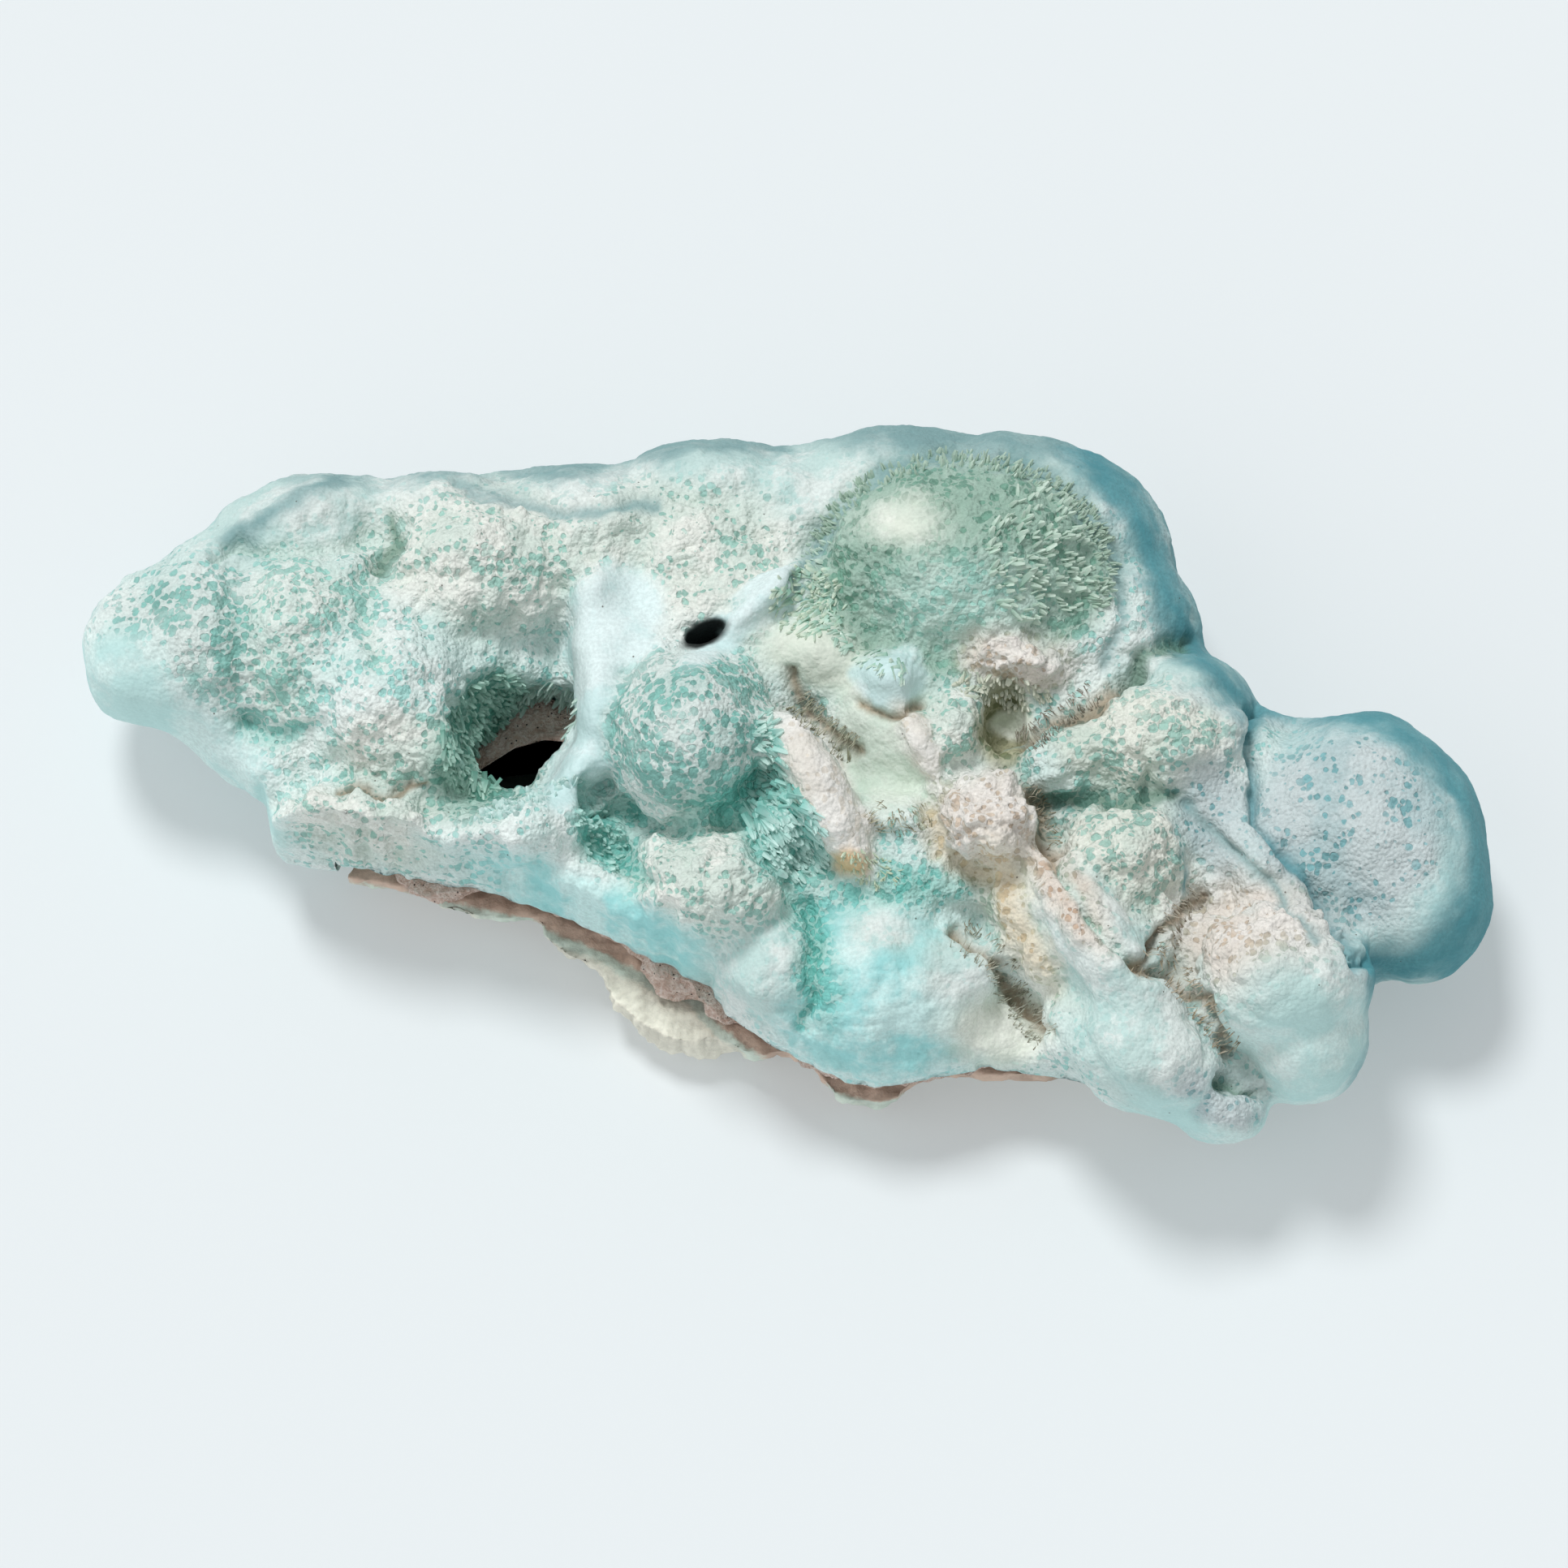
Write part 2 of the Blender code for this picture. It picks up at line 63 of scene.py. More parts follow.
# name, across, up, height of the centre, then half sizes across, up and along the
# line of sight, and the turn in degrees
crustLumps = [
    ("fillLeft", -53, 13, 17, 24, 17, 15, 0),
    ("fillLeftEnd", -68, 17, 17, 16, 12.5, 15, 0),
    ("fillBack", -30, 27, 18, 34, 11, 15, 3),
    ("fillBackMiddle", -8, 30, 18, 22, 10.5, 15, 0),
    ("fillMiddle", -6, 12, 18, 22, 20, 14, 0),
    ("fillFront", 2, -17, 14, 24, 14, 13, -15),
    ("fillFrontLeft", -42, -4, 15, 22, 8, 11, -8),
    ("fillCentre", 17, 3, 17, 20, 18, 14, 0),
    ("fillRight", 46, -6, 17, 24, 19, 13, -25),
    ("fillFar", 60, -12, 16, 20, 16, 12, 0),
    ("leftLobe", -71.1, 17.1, 19, 11.5, 12.2, 15, 0),
    ("leftTip", -79.1, 16, 18, 8.1, 9.2, 13, 0),
    ("leftCrown", -76.8, 20, 18, 7.4, 7.8, 13, 0),
    ("leftBackJoin", -71.4, 26.2, 17, 10, 5, 12, 30),
    ("leftShoulder", -59.4, 17.6, 22, 9.8, 11.2, 14, 0),
    ("leftCollar", -53.6, 24.6, 23, 6, 4.5, 10, 0),
    ("leftFoot", -63.1, 2.1, 15, 4.8, 4.5, 9, 0),
    ("backLeft", -59.8, 33, 18, 12.6, 5.4, 14, 12),
    ("backLeftFill", -60, 28.6, 18, 13, 5, 13, 6),
    ("backSecond", -42.6, 34.1, 19, 11.5, 5, 14, 2),
    ("backThird", -25.6, 34.8, 19, 13, 4.8, 14, 3),
    ("backFourth", -8.6, 37, 20, 12.5, 6, 14, -2),
    ("backSaddle", 1.4, 34.2, 20, 8.5, 8, 14, 0),
    ("middleLeft", -37.6, 26.2, 21, 14, 10.5, 16, 0),
    ("middleBack", -22.6, 31, 22, 12, 7, 13, 0),
    ("middleHollow", -10.6, 27.2, 21, 14, 9, 13, 0),
    ("frontLeft", -48.6, 10.6, 23, 10.4, 10.6, 14, 0),
    ("frontLeftKnob", -44.2, 4.4, 23, 7.4, 6.6, 10, 0),
    ("ledge", -50.6, -5.2, 18, 12.5, 5.7, 13, -6),
    ("ledgeCorner", -59.6, -6.4, 15, 4.6, 5, 9, 0),
    ("holeRim", -32.6, -5.4, 19, 12.5, 5.4, 13, 8),
    ("webTop", -23.1, 22.6, 25, 3.8, 6, 10, 0),
    ("webShoulder", -21.4, 17, 24, 5.2, 4.4, 11, 0),
    ("webWaist", -22.6, 9.8, 24, 3, 8.8, 11, 0),
    ("webFoot", -25.2, 1.6, 21, 2.8, 5.6, 10, -35),
    ("webArm", -16, 15.6, 24, 7, 3.4, 11, 0),
    ("webRidge", -3.6, 21.8, 26, 10, 2.6, 11, 40),
    ("bigBall", -11.1, 5.6, 26, 10.9, 11.2, 18, 0),
    ("frontBall", -8.6, -12.6, 20, 11, 7.8, 17, 0),
    ("frontBallSkirt", -11.6, -18.9, 14, 10.5, 5, 12, -25),
    ("crystalBank", -1, -5.4, 21, 6.4, 6.5, 12, 0),
    ("faceLeft", -20.6, -13, 14, 12, 5.5, 11, -22),
    ("faceMiddle", 11.4, -24.4, 15, 16, 11.5, 14, 0),
    ("faceBumps", -0.6, -22.4, 16, 8, 8.5, 13, 0),
    ("faceBlister", 12.4, -18.4, 20, 6, 4.6, 9, 0),
    ("faceTop", 15.4, -11.4, 20, 11, 8, 11, 0),
    ("faceWhite", 21.9, -22.4, 19, 6, 5, 9, 0),
    ("faceCorner", 24.4, -29.6, 13, 8.5, 5.4, 6, -8),
    ("vugRod", 4.6, -1.4, 31.6, 11.6, 3.9, 7, -61),
    ("vugSlope", 12.9, 6.6, 24, 6, 9, 10, 25),
    ("vugShortRod", 16.7, 4.6, 31, 5.8, 2.3, 5, -65),
    ("vugBead", 13, 13.1, 31, 4.1, 3.5, 7, 0),
    ("vugCream", 4.4, 16.1, 25, 8.5, 5.5, 10, -10),
    ("vugFloor", 13.4, -4.4, 24, 7.5, 4, 9, 0),
    ("dome", 21.6, 27.4, 25, 18.6, 14.2, 19, 0),
    ("shellLeft", 14.4, 31.6, 20, 18.5, 13, 16, 0),
    ("shellRight", 31, 29.2, 20, 18.6, 14, 17, -20),
    ("shellSide", 36.8, 17.6, 18, 15.2, 15.5, 15, 0),
    ("overhang", 28.9, 15.1, 27, 6.5, 3.8, 10, -10),
    ("overhangLeft", 20.9, 7.1, 27, 4.2, 4.8, 9, 0),
    ("rightCrescent", 50, 11.6, 19, 8.8, 5.2, 14, -25),
    ("rightLobe", 45.9, 5.1, 24, 12.5, 7.5, 14, 0),
    ("rightLobeLeft", 33.4, 2.6, 24, 6.5, 5, 11, 30),
    ("knob", 24.7, -4.4, 29, 7.2, 6, 12, 0),
    ("roughLobe", 41.4, -9.4, 25, 8.2, 8, 13, 0),
    ("roughTail", 45, -17.4, 21, 5.8, 8, 11, 20),
    ("terrace", 60, -11.4, 17, 14.5, 6.6, 14, -48),
    ("terraceFoot", 67.4, -20.4, 16, 5, 5, 11, 0),
    ("endLobe", 71, -5.4, 17, 14.4, 14.4, 16, 0),
    ("endLobeMiddle", 74.6, -8.6, 16.5, 12.4, 13.6, 15.8, 0),
    ("endLobeFront", 77, -14, 16, 10, 10.4, 13.6, 0),
    ("rightBall", 60.2, -23.4, 24, 11.5, 9.7, 17, 0),
    ("rightBallFoot", 63.2, -30, 19, 8.2, 9.2, 14, 0),
    ("finger", 40.2, -21.9, 26, 17, 5.8, 12, -55),
    ("fingerTop", 34.8, -14.6, 27, 8, 5.4, 11, -55),
    ("fingerEnd", 43.7, -32.2, 20, 10.8, 7.8, 14, -30),
    ("fingerFill", 48.4, -26, 16, 7, 9, 12, 20),
    ("tanRidge", 30.4, -18.4, 22, 11, 3.8, 9, -60),
    ("tanRidgeEnd", 37, -29.4, 19, 6, 6.5, 10, -50),
    ("lastKnob", 53.2, -39.6, 15, 5.4, 4.6, 10, 0),
]

# hollows stand upright: tall is front to back, deep is up and down
crustHollows = [
    ("largeHole", -31.6, 3.6, 13, 5.6, 9, 16, -42),
    ("holeFunnel", -33.6, 8.6, 30, 7.8, 8.8, 13, -20),
    ("smallHole", -9.9, 16.9, 28, 3.5, 1.5, 14, 20),
    ("greenPit", 26.8, 8.2, 30, 2.8, 4.6, 8, -10),
    ("vugTrough", 7, 4.6, 31, 1.7, 7.5, 4.5, 38),
    ("knobGap", 32.8, -6, 25, 0.8, 4, 7, -15),
]

# the broken front edge from left to right, then the rest of the outline
frontEdge = [
    (-62.8, -8.4), (-54, -10.4), (-45, -12.2), (-37, -13.6), (-29, -16),
    (-22, -19.2), (-16, -22.2), (-10, -24.4), (-7, -28.4), (-2, -32.2),
    (4, -35.4), (11, -37.8), (18, -36.4), (24, -35.2), (32, -35.8),
]
backEdge = [
    (43, -38.5), (52, -40), (57, -37), (64, -36), (69, -30), (71, -22.5), (78, -22),
    (83, -18), (84, -9), (80, 0), (73, 5), (62, 5), (55, 8), (49, 16), (44, 30),
    (36, 38), (22, 40), (6, 39), (-10, 38), (-30, 36), (-46, 35), (-58, 33),
    (-66, 28), (-76, 24), (-83, 15), (-76, 8), (-68, 4), (-61, -3.6),
]
rockBackEdge = [
    (54, -34), (62, -24), (72, -17), (74, -8), (66, -1), (48, 4), (40, 20), (30, 32),
    (8, 34), (-20, 31), (-44, 30), (-60, 24), (-66, 16), (-60, 10), (-52, -2),
]
leftCorner = [(-90, -2), (-64, -3.4)]

# the rock is set back here and there, so that its band varies
rockFrontEdge = [
    (-62.8, -5), (-54, -5), (-49.4, -8), (-48, -11), (-45.6, -12.8),
    (-41, -13.6), (-37.4, -12.6), (-31, -14.2), (-26, -16.2), (-22, -18.6), (-18, -20.6),
    (-15, -23.4), (-10, -25.2), (-7, -27.6), (-2, -31.2), (4, -34.4),
    (11, -37.2), (18, -35.4), (24, -34.4), (32, -34.6),
]

# places where the fused lumps are smoothed into one form: across, up, half width,
# half height, turn, softness
softPlaces = [
    (74, -8, 13, 14, 0, 0.4),
    (-75, 15, 10, 10, 0, 0.4),
    (22, 28, 16, 12, 0, 0.4),
    (-21, 19, 6, 6, 0, 0.5),
    (12, -24, 9, 7, 0, 0.6),
]

layers = {
    "rockBottom": 8.6,
    "rockTop": 12.2,
    "rimTop": 16.0,
    "coreTop": 21.0,
    "gap": 0.5,
    "coreSetback": 8,
    "breakReach": 40,
    "farBelow": -30,
    "farAbove": 60,
}


def deselectAll():
    bpy.ops.object.select_all(action="DESELECT")


def pickOnly(obj):
    deselectAll()
    obj.select_set(True)
    bpy.context.view_layer.objects.active = obj


def joined(objs, name):
    deselectAll()
    for obj in objs:
        obj.select_set(True)
    bpy.context.view_layer.objects.active = objs[0]
    if len(objs) > 1:
        bpy.ops.object.join()
    whole = bpy.context.object
    bpy.ops.object.transform_apply(location=True, rotation=True, scale=True)
    whole.name = name
    return whole


def applied(obj, kind, **settings):
    modifier = obj.modifiers.new(kind.title(), kind)
    for key, value in settings.items():
        setattr(modifier, key, value)
    pickOnly(obj)
    bpy.ops.object.modifier_apply(modifier=modifier.name)
    return obj


def remeshed(obj, voxel):
    return applied(obj, "REMESH", mode="VOXEL", voxel_size=voxel * mm)


def smoothed(obj, rounds):
    return applied(obj, "SMOOTH", factor=0.5, iterations=rounds)


def rolled(obj, name, size, strength):
    # gentle swells over the whole surface
    texture = bpy.data.textures.new(name, "CLOUDS")
    texture.noise_scale = size * mm
    texture.noise_depth = 1
    return applied(obj, "DISPLACE", texture=texture, strength=strength * mm,
                   texture_coords="GLOBAL", mid_level=0.5)


def triangleCount(obj):
    return sum(len(face.vertices) - 2 for face in obj.data.polygons)


def lumpsAsOne(lumps, name, upright=False):
    spheres = []
    for _, across, up, height, wide, tall, deep, turn in lumps:
        axes = Matrix.Identity(3) if upright else viewAxes
        facing = (axes @ Matrix.Rotation(math.radians(turn), 3, "Z")).to_euler()
        bpy.ops.mesh.primitive_ico_sphere_add(
            subdivisions=4, radius=1, location=placeSeen(across, up, height), rotation=facing)
        sphere = bpy.context.object
        sphere.scale = (wide * mm, tall * mm, deep * mm)
        spheres.append(sphere)
    return joined(spheres, name)


def plateOver(outline, bottom, top, name):
    curve = bpy.data.curves.new(name, "CURVE")
    curve.dimensions = "2D"
    curve.fill_mode = "BOTH"
    curve.extrude = (top - bottom) / 2 * mm
    spline = curve.splines.new("POLY")
    spline.points.add(len(outline) - 1)
    for point, (across, up) in zip(spline.points, outline):
        corner = placeSeen(across, up, layers["rockTop"])
        point.co = (corner.x, corner.y, 0, 1)
    spline.use_cyclic_u = True
    plate = bpy.data.objects.new(name, curve)
    bpy.context.scene.collection.objects.link(plate)
    plate.location.z = (top + bottom) / 2 * mm
    pickOnly(plate)
    bpy.ops.object.convert(target="MESH")
    plate = joined([bpy.context.object], name)
    bpy.ops.object.mode_set(mode="EDIT")
    bpy.ops.mesh.select_all(action="SELECT")
    bpy.ops.mesh.remove_doubles(threshold=0.000001)
    bpy.ops.mesh.normals_make_consistent(inside=False)
    bpy.ops.object.mode_set(mode="OBJECT")
    return plate


def cutAway(obj, tool, operation="DIFFERENCE"):
    applied(obj, "BOOLEAN", operation=operation, object=tool, solver="MANIFOLD")
    bpy.data.objects.remove(tool)
    return obj


def shifted(outline, across, up):
    return [(x + across, y + up) for x, y in outline]


def behindBreak(back):
    # an outline that runs well past the front, where the break has already cut
    return shifted(frontEdge, 0, -layers["breakReach"] / 2) + back


def uneven(outline, step, reach, seed):
    # the same open line with more points, which stray a little to both sides
    wander = random.Random(seed)
    line = []
    for (ax, ay), (bx, by) in zip(outline, outline[1:]):
        span = math.hypot(bx - ax, by - ay)
        count = max(1, round(span / step))
        for k in range(count):
            t = k / count
            off = wander.uniform(-reach, reach) if k or line else 0
            line.append((ax + (bx - ax) * t - (by - ay) / span * off,
                         ay + (by - ay) * t + (bx - ax) / span * off))
    return line + [outline[-1]]


# Smooth noise for whole point clouds, in mm, worked out on arrays.
def scramble(x, y, z, seed):
    h = (x * 374761393 + y * 668265263 + z * 1274126177 + seed * 69069) & 0xffffffff
    h = ((h ^ (h >> 13)) * 1103515245) & 0xffffffff
    h = ((h ^ (h >> 16)) * 1664525 + 1013904223) & 0xffffffff
    return ((h ^ (h >> 15)) & 0xffffff) / 0xffffff


def softNoise(points, size, seed):
    q = points / size
    base = np.floor(q).astype(np.int64)
    f = q - base
    f = f * f * (3 - 2 * f)
    total = np.zeros(len(points))
    for cx in (0, 1):
        for cy in (0, 1):
            for cz in (0, 1):
                w = (f[:, 0] if cx else 1 - f[:, 0]) * (f[:, 1] if cy else 1 - f[:, 1])
                w = w * (f[:, 2] if cz else 1 - f[:, 2])
                total += w * scramble(base[:, 0] + cx, base[:, 1] + cy, base[:, 2] + cz, seed)
    return total


def roughNoise(points, size, seed, steps=3):
    total, weight, share = np.zeros(len(points)), 0.0, 1.0
    for step in range(steps):
        total += share * softNoise(points, size / 2 ** step, seed + 17 * step)
        weight += share
        share *= 0.55
    return total / weight


def ridged(noise):
    return np.abs(2 * noise - 1)


def smoothStep(low, high, value):
    t = np.clip((value - low) / (high - low), 0, 1)
    return t * t * (3 - 2 * t)


def rowsOf(items, field, width):
    rows = np.empty(len(items) * width, dtype=np.float32)
    items.foreach_get(field, rows)
    return rows.reshape(-1, width)


def pointsOf(mesh):
    return rowsOf(mesh.vertices, "co", 3).astype(np.float64)


def normalsOf(mesh):
    return rowsOf(mesh.vertex_normals, "vector", 3).astype(np.float64)


def setPoints(mesh, points):
    mesh.vertices.foreach_set("co", points.astype(np.float32).ravel())
    mesh.update()


def neighbourMean(mesh, values, rounds):
    edges = np.empty(len(mesh.edges) * 2, dtype=np.int32)
    mesh.edges.foreach_get("vertices", edges)
    a, b = edges[0::2], edges[1::2]
    count = len(mesh.vertices)
    degree = np.bincount(a, minlength=count) + np.bincount(b, minlength=count)
    for _ in range(rounds):
        columns = []
        for k in range(values.shape[1]):
            v = values[:, k]
            total = np.bincount(a, v[b], count) + np.bincount(b, v[a], count)
            columns.append(0.5 * v + 0.5 * total / degree)
        values = np.stack(columns, axis=1)
    return values


def cavityOf(mesh, points, normals, rounds):
    # how far the surface lies below its smoothed self, in mm
    level = neighbourMean(mesh, points, rounds)
    return np.einsum("ij,ij->i", level - points, normals) / mm


def seenFrom(points):
    # across and up in the photograph's view, in mm, with its perspective
    toward = np.array((0, -cosView, sinView))
    upward = np.array((0, sinView, cosView))
    aim = np.array(placeSeen(0, 0, photoView["aimHeight"]))
    rel = points - aim
    near = photoView["distance"] / (photoView["distance"] - rel @ toward)
    return rel[:, 0] * near / mm, (rel @ upward) * near / mm


def setPaint(mesh, name, values):
    layer = mesh.color_attributes.new(name, "FLOAT_COLOR", "POINT")
    layer.data.foreach_set("color", values.astype(np.float32).ravel())


# The finishes of the crust: the colour of the crystal ends, the colour of the frosting
# between them, how much the frosting covers, how far the cells show, the fine relief
# in mm, how shiny the bare crystal is, and the height of the clumps in mm.
finishes = {
    "honeycomb": ((159, 211, 205), (233, 243, 240), 0.66, 1, 0.7, 0.5, 0.9),
    "honeycombTeal": ((128, 184, 175), (216, 229, 225), 0.3, 1, 0.6, 0.5, 0.8),
    "honeycombGreen": ((154, 204, 193), (224, 235, 229), 0.4, 1, 0.75, 0.4, 1),
    "frosted": ((166, 206, 202), (222, 232, 229), 0.72, 0.35, 0.35, 0.2, 0.6),
    "creamNetwork": ((158, 200, 188), (234, 238, 231), 0.7, 1, 1, 0.3, 1.4),
    "web": ((200, 230, 230), (222, 238, 238), 0.6, 0.1, 0.12, 0.2, 0.2),
    "paleRim": ((184, 224, 222), (214, 238, 235), 0.7, 0.1, 0.08, 0.4, 0.2),
    "blueRim": ((66, 137, 148), (86, 154, 163), 0.95, 0.1, 0.1, 0.5, 0.2),
    "greyRim": ((108, 150, 153), (144, 176, 176), 0.95, 0.3, 0.2, 0.3, 0.4),
    "aquaFibre": ((136, 210, 211), (206, 238, 236), 0.55, 0.12, 0.25, 0.4, 0.7),
    "deepTeal": ((108, 186, 176), (172, 218, 210), 0.2, 1, 0.5, 0.6, 1),
    "domeGreen": ((112, 158, 139), (170, 197, 183), 0.5, 0.9, 0.6, 0.6, 0.9),
    "domePale": ((158, 206, 194), (198, 224, 214), 0.55, 0.7, 0.5, 0.6, 0.7),
    "cream": ((216, 226, 212), (234, 238, 228), 0.75, 0.2, 0.25, 0.2, 0.4),
    "paleGreen": ((200, 218, 204), (222, 232, 221), 0.6, 0.2, 0.2, 0.3, 0.4),
    "paleAqua": ((184, 222, 220), (212, 234, 232), 0.65, 0.2, 0.15, 0.3, 0.2),
    "pinkWhite": ((204, 188, 170), (236, 232, 226), 0.74, 1, 1.1, 0.1, 1.9),
    "pinkGrains": ((190, 160, 136), (230, 220, 209), 0.6, 1, 0.8, 0.1, 1.3),
    "porousWhite": ((120, 170, 175), (201, 213, 214), 0.76, 0.8, 0.35, 0.2, 0.5),
    "porousCream": ((156, 194, 182), (230, 234, 224), 0.6, 1, 1, 0.2, 1.4),
    "tanCream": ((206, 188, 156), (232, 226, 208), 0.6, 0.7, 0.8, 0.1, 1.1),
    "brown": ((104, 84, 60), (164, 142, 112), 0.5, 0.5, 0.45, 0.1, 0.6),
    "orange": ((212, 178, 132), (226, 196, 154), 0.55, 0.3, 0.3, 0.2, 0.3),
    # a dark green that is painted shade in the creases
    "creaseShadeGreen": ((58, 104, 86), (112, 152, 132), 0.35, 1, 0.5, 0.3, 1),
    # painted shade for the walls of the holes
    "shadedHoleWall": ((82, 142, 126), (160, 198, 184), 0.3, 1, 0.6, 0.4, 1.4),
    "whiteGrain": ((212, 204, 190), (237, 236, 231), 0.78, 0.5, 0.8, 0.1, 0.5),
    "olive": ((116, 122, 88), (178, 178, 148), 0.5, 0.7, 0.6, 0.2, 0.8),
    # painted shadow inside the small hole
    "holeShadowBlack": ((12, 18, 17), (22, 30, 28), 0.2, 0.3, 0.2, 0, 0.2),
}

# Where each finish lies: across, up, half width, half height, turn and edge softness.
# Later rows lie over earlier ones.
finishPlaces = [
    ("greyRim", -47, 38.6, 22, 4, 3, 0.5),
    ("frosted", -60.6, 33, 14, 5.4, 14, 0.3),
    ("frosted", -42, 34.6, 14, 4.6, 0, 0.3),
    ("frosted", -25, 36, 16, 5, 3, 0.3),
    ("frosted", -8, 38, 14, 6.5, 0, 0.3),
    ("frosted", 8, 37, 14, 7, 8, 0.4),
    ("frosted", 24, 40, 18, 5, 0, 0.4),
    ("creamNetwork", -37.6, 27.6, 13.5, 9.5, 0, 0.3),
    ("creamNetwork", -12.6, 28.2, 15, 9, 0, 0.3),
    ("honeycombTeal", -73.6, 15.6, 11, 11, 0, 0.3),
    # the left tip is painted pale partly as painted light, since it faces away from the light
    ("paleRim", -82, 11, 6.5, 8, 20, 0.5),
    ("honeycombGreen", -59.4, 17, 8.5, 12, 0, 0.3),
    ("paleAqua", -72, 4.6, 10, 4.6, -32, 0.5),
    ("honeycomb", -48.6, 11.6, 10, 11, 0, 0.3),
    ("creamNetwork", -47, 4, 9, 5, 0, 0.4),
    ("creamNetwork", -50, -5, 13, 5, -6, 0.3),
    ("honeycomb", -32.6, -5.4, 12, 5.2, 8, 0.3),
    # painted shade on the wall of the large hole
    ("shadedHoleWall", -36.8, 5, 6, 9.5, -20, 0.4),
    ("web", -20.6, 21.6, 6, 5.4, -10, 0.3),
    ("web", -21.6, 16.4, 6, 3.8, 0, 0.3),
    ("web", -23.4, 9.6, 3.4, 8.6, 0, 0.25),
    ("web", -25.4, 1.4, 3.2, 5.6, -35, 0.3),
    ("honeycombTeal", -11.4, 6.4, 10.8, 10.8, 0, 0.12),
    ("deepTeal", -5.4, -2.4, 6.5, 3.2, 25, 0.5),
    ("web", -3.6, 21.6, 10.5, 2.6, 40, 0.3),
    ("creamNetwork", -9.4, -12.6, 10.8, 7.8, 0, 0.2),
    ("aquaFibre", -20.6, -17.6, 17, 4.2, -25, 0.4),
    ("deepTeal", 1, -6.6, 6, 6, 0, 0.4),
    ("deepTeal", -22, -6, 3.5, 4, 30, 0.6),
    ("aquaFibre", 12, -26, 15, 12, 0, 0.3),
    ("frosted", -4, -24, 6, 7, -30, 0.6),
    ("deepTeal", 3.4, -21, 2.6, 8, 10, 0.8),
    ("deepTeal", 14.4, -12.4, 8, 2.6, 0, 0.8),
    ("frosted", 12.4, -18, 4.6, 3, 0, 0.6),
    ("frosted", -0.6, -20, 3, 2.6, 0, 0.6),
    ("frosted", 22, -22.6, 5, 4.6, 0, 0.5),
    ("cream", 26.4, -30.4, 6.5, 4.6, 0, 0.5),
    ("paleGreen", 12.6, 5.6, 7, 9.6, 10, 0.3),
    ("cream", 5, 16, 8.5, 5, -10, 0.4),
    ("greyRim", 21, 44, 20, 3.2, 0, 0.6),
    ("domeGreen", 21.8, 26.8, 18.6, 14, 0, 0.15),
    ("domePale", 22.4, 22, 10, 6, 0, 0.6),
    ("cream", 14.6, 32.4, 4.4, 2.6, 0, 0.9),
    ("web", 13, 13.2, 4.2, 3.6, 0, 0.2),
    ("pinkWhite", 28.6, 15, 7.2, 3.8, -10, 0.4),
    ("creamNetwork", 20.6, 7, 4, 5, 0, 0.4),
    ("olive", 26.8, 7, 3.4, 5.4, 0, 0.4),
    ("frosted", 50, 12, 9.5, 5.6, -25, 0.3),
    ("porousCream", 43.6, 5.6, 11.5, 6.6, 0, 0.3),
    ("pinkWhite", 24.7, -4.6, 7.6, 6.4, 0, 0.3),
    ("porousCream", 41.4, -9.4, 8.6, 8.6, 0, 0.3),
    ("porousWhite", 59, -9.4, 15, 6.4, -48, 0.3),
    ("blueRim", 74.6, -8.6, 15, 17, 0, 0.25),
    ("paleRim", 71, -6.4, 13.4, 14.4, 0, 0.25),
    ("porousWhite", 69.6, -5.8, 12.2, 12.6, 0, 0.25),
    ("pinkWhite", 58, -19.6, 10.5, 8, -15, 0.4),
    ("frosted", 63.6, -29, 9, 9, 0, 0.5),
    ("paleRim", 66.4, -33, 5, 7, 30, 0.6),
    ("tanCream", 30.4, -17, 10.5, 4, -60, 0.5),
    ("frosted", 40.8, -22.6, 17, 6.2, -55, 0.25),
    ("pinkGrains", 35, -13.4, 8.4, 3, -55, 0.5),
    ("frosted", 44, -33, 11, 7, -30, 0.4),
    ("porousWhite", 53.2, -40, 6, 4.6, 0, 0.4),
    ("whiteGrain", 5, -1.2, 12, 3.8, -61, 0.2),
    ("orange", 8.2, -9.4, 2.4, 1.8, 0, 0.5),
    ("whiteGrain", 16.6, 5, 5.6, 2.2, -65, 0.3),
    ("cream", 28.2, 7.6, 2.2, 1.8, 0, 0.3),
    # painted shadow in the small hole
    ("holeShadowBlack", -9.9, 18.5, 3, 1.3, 20, 0.3),
]
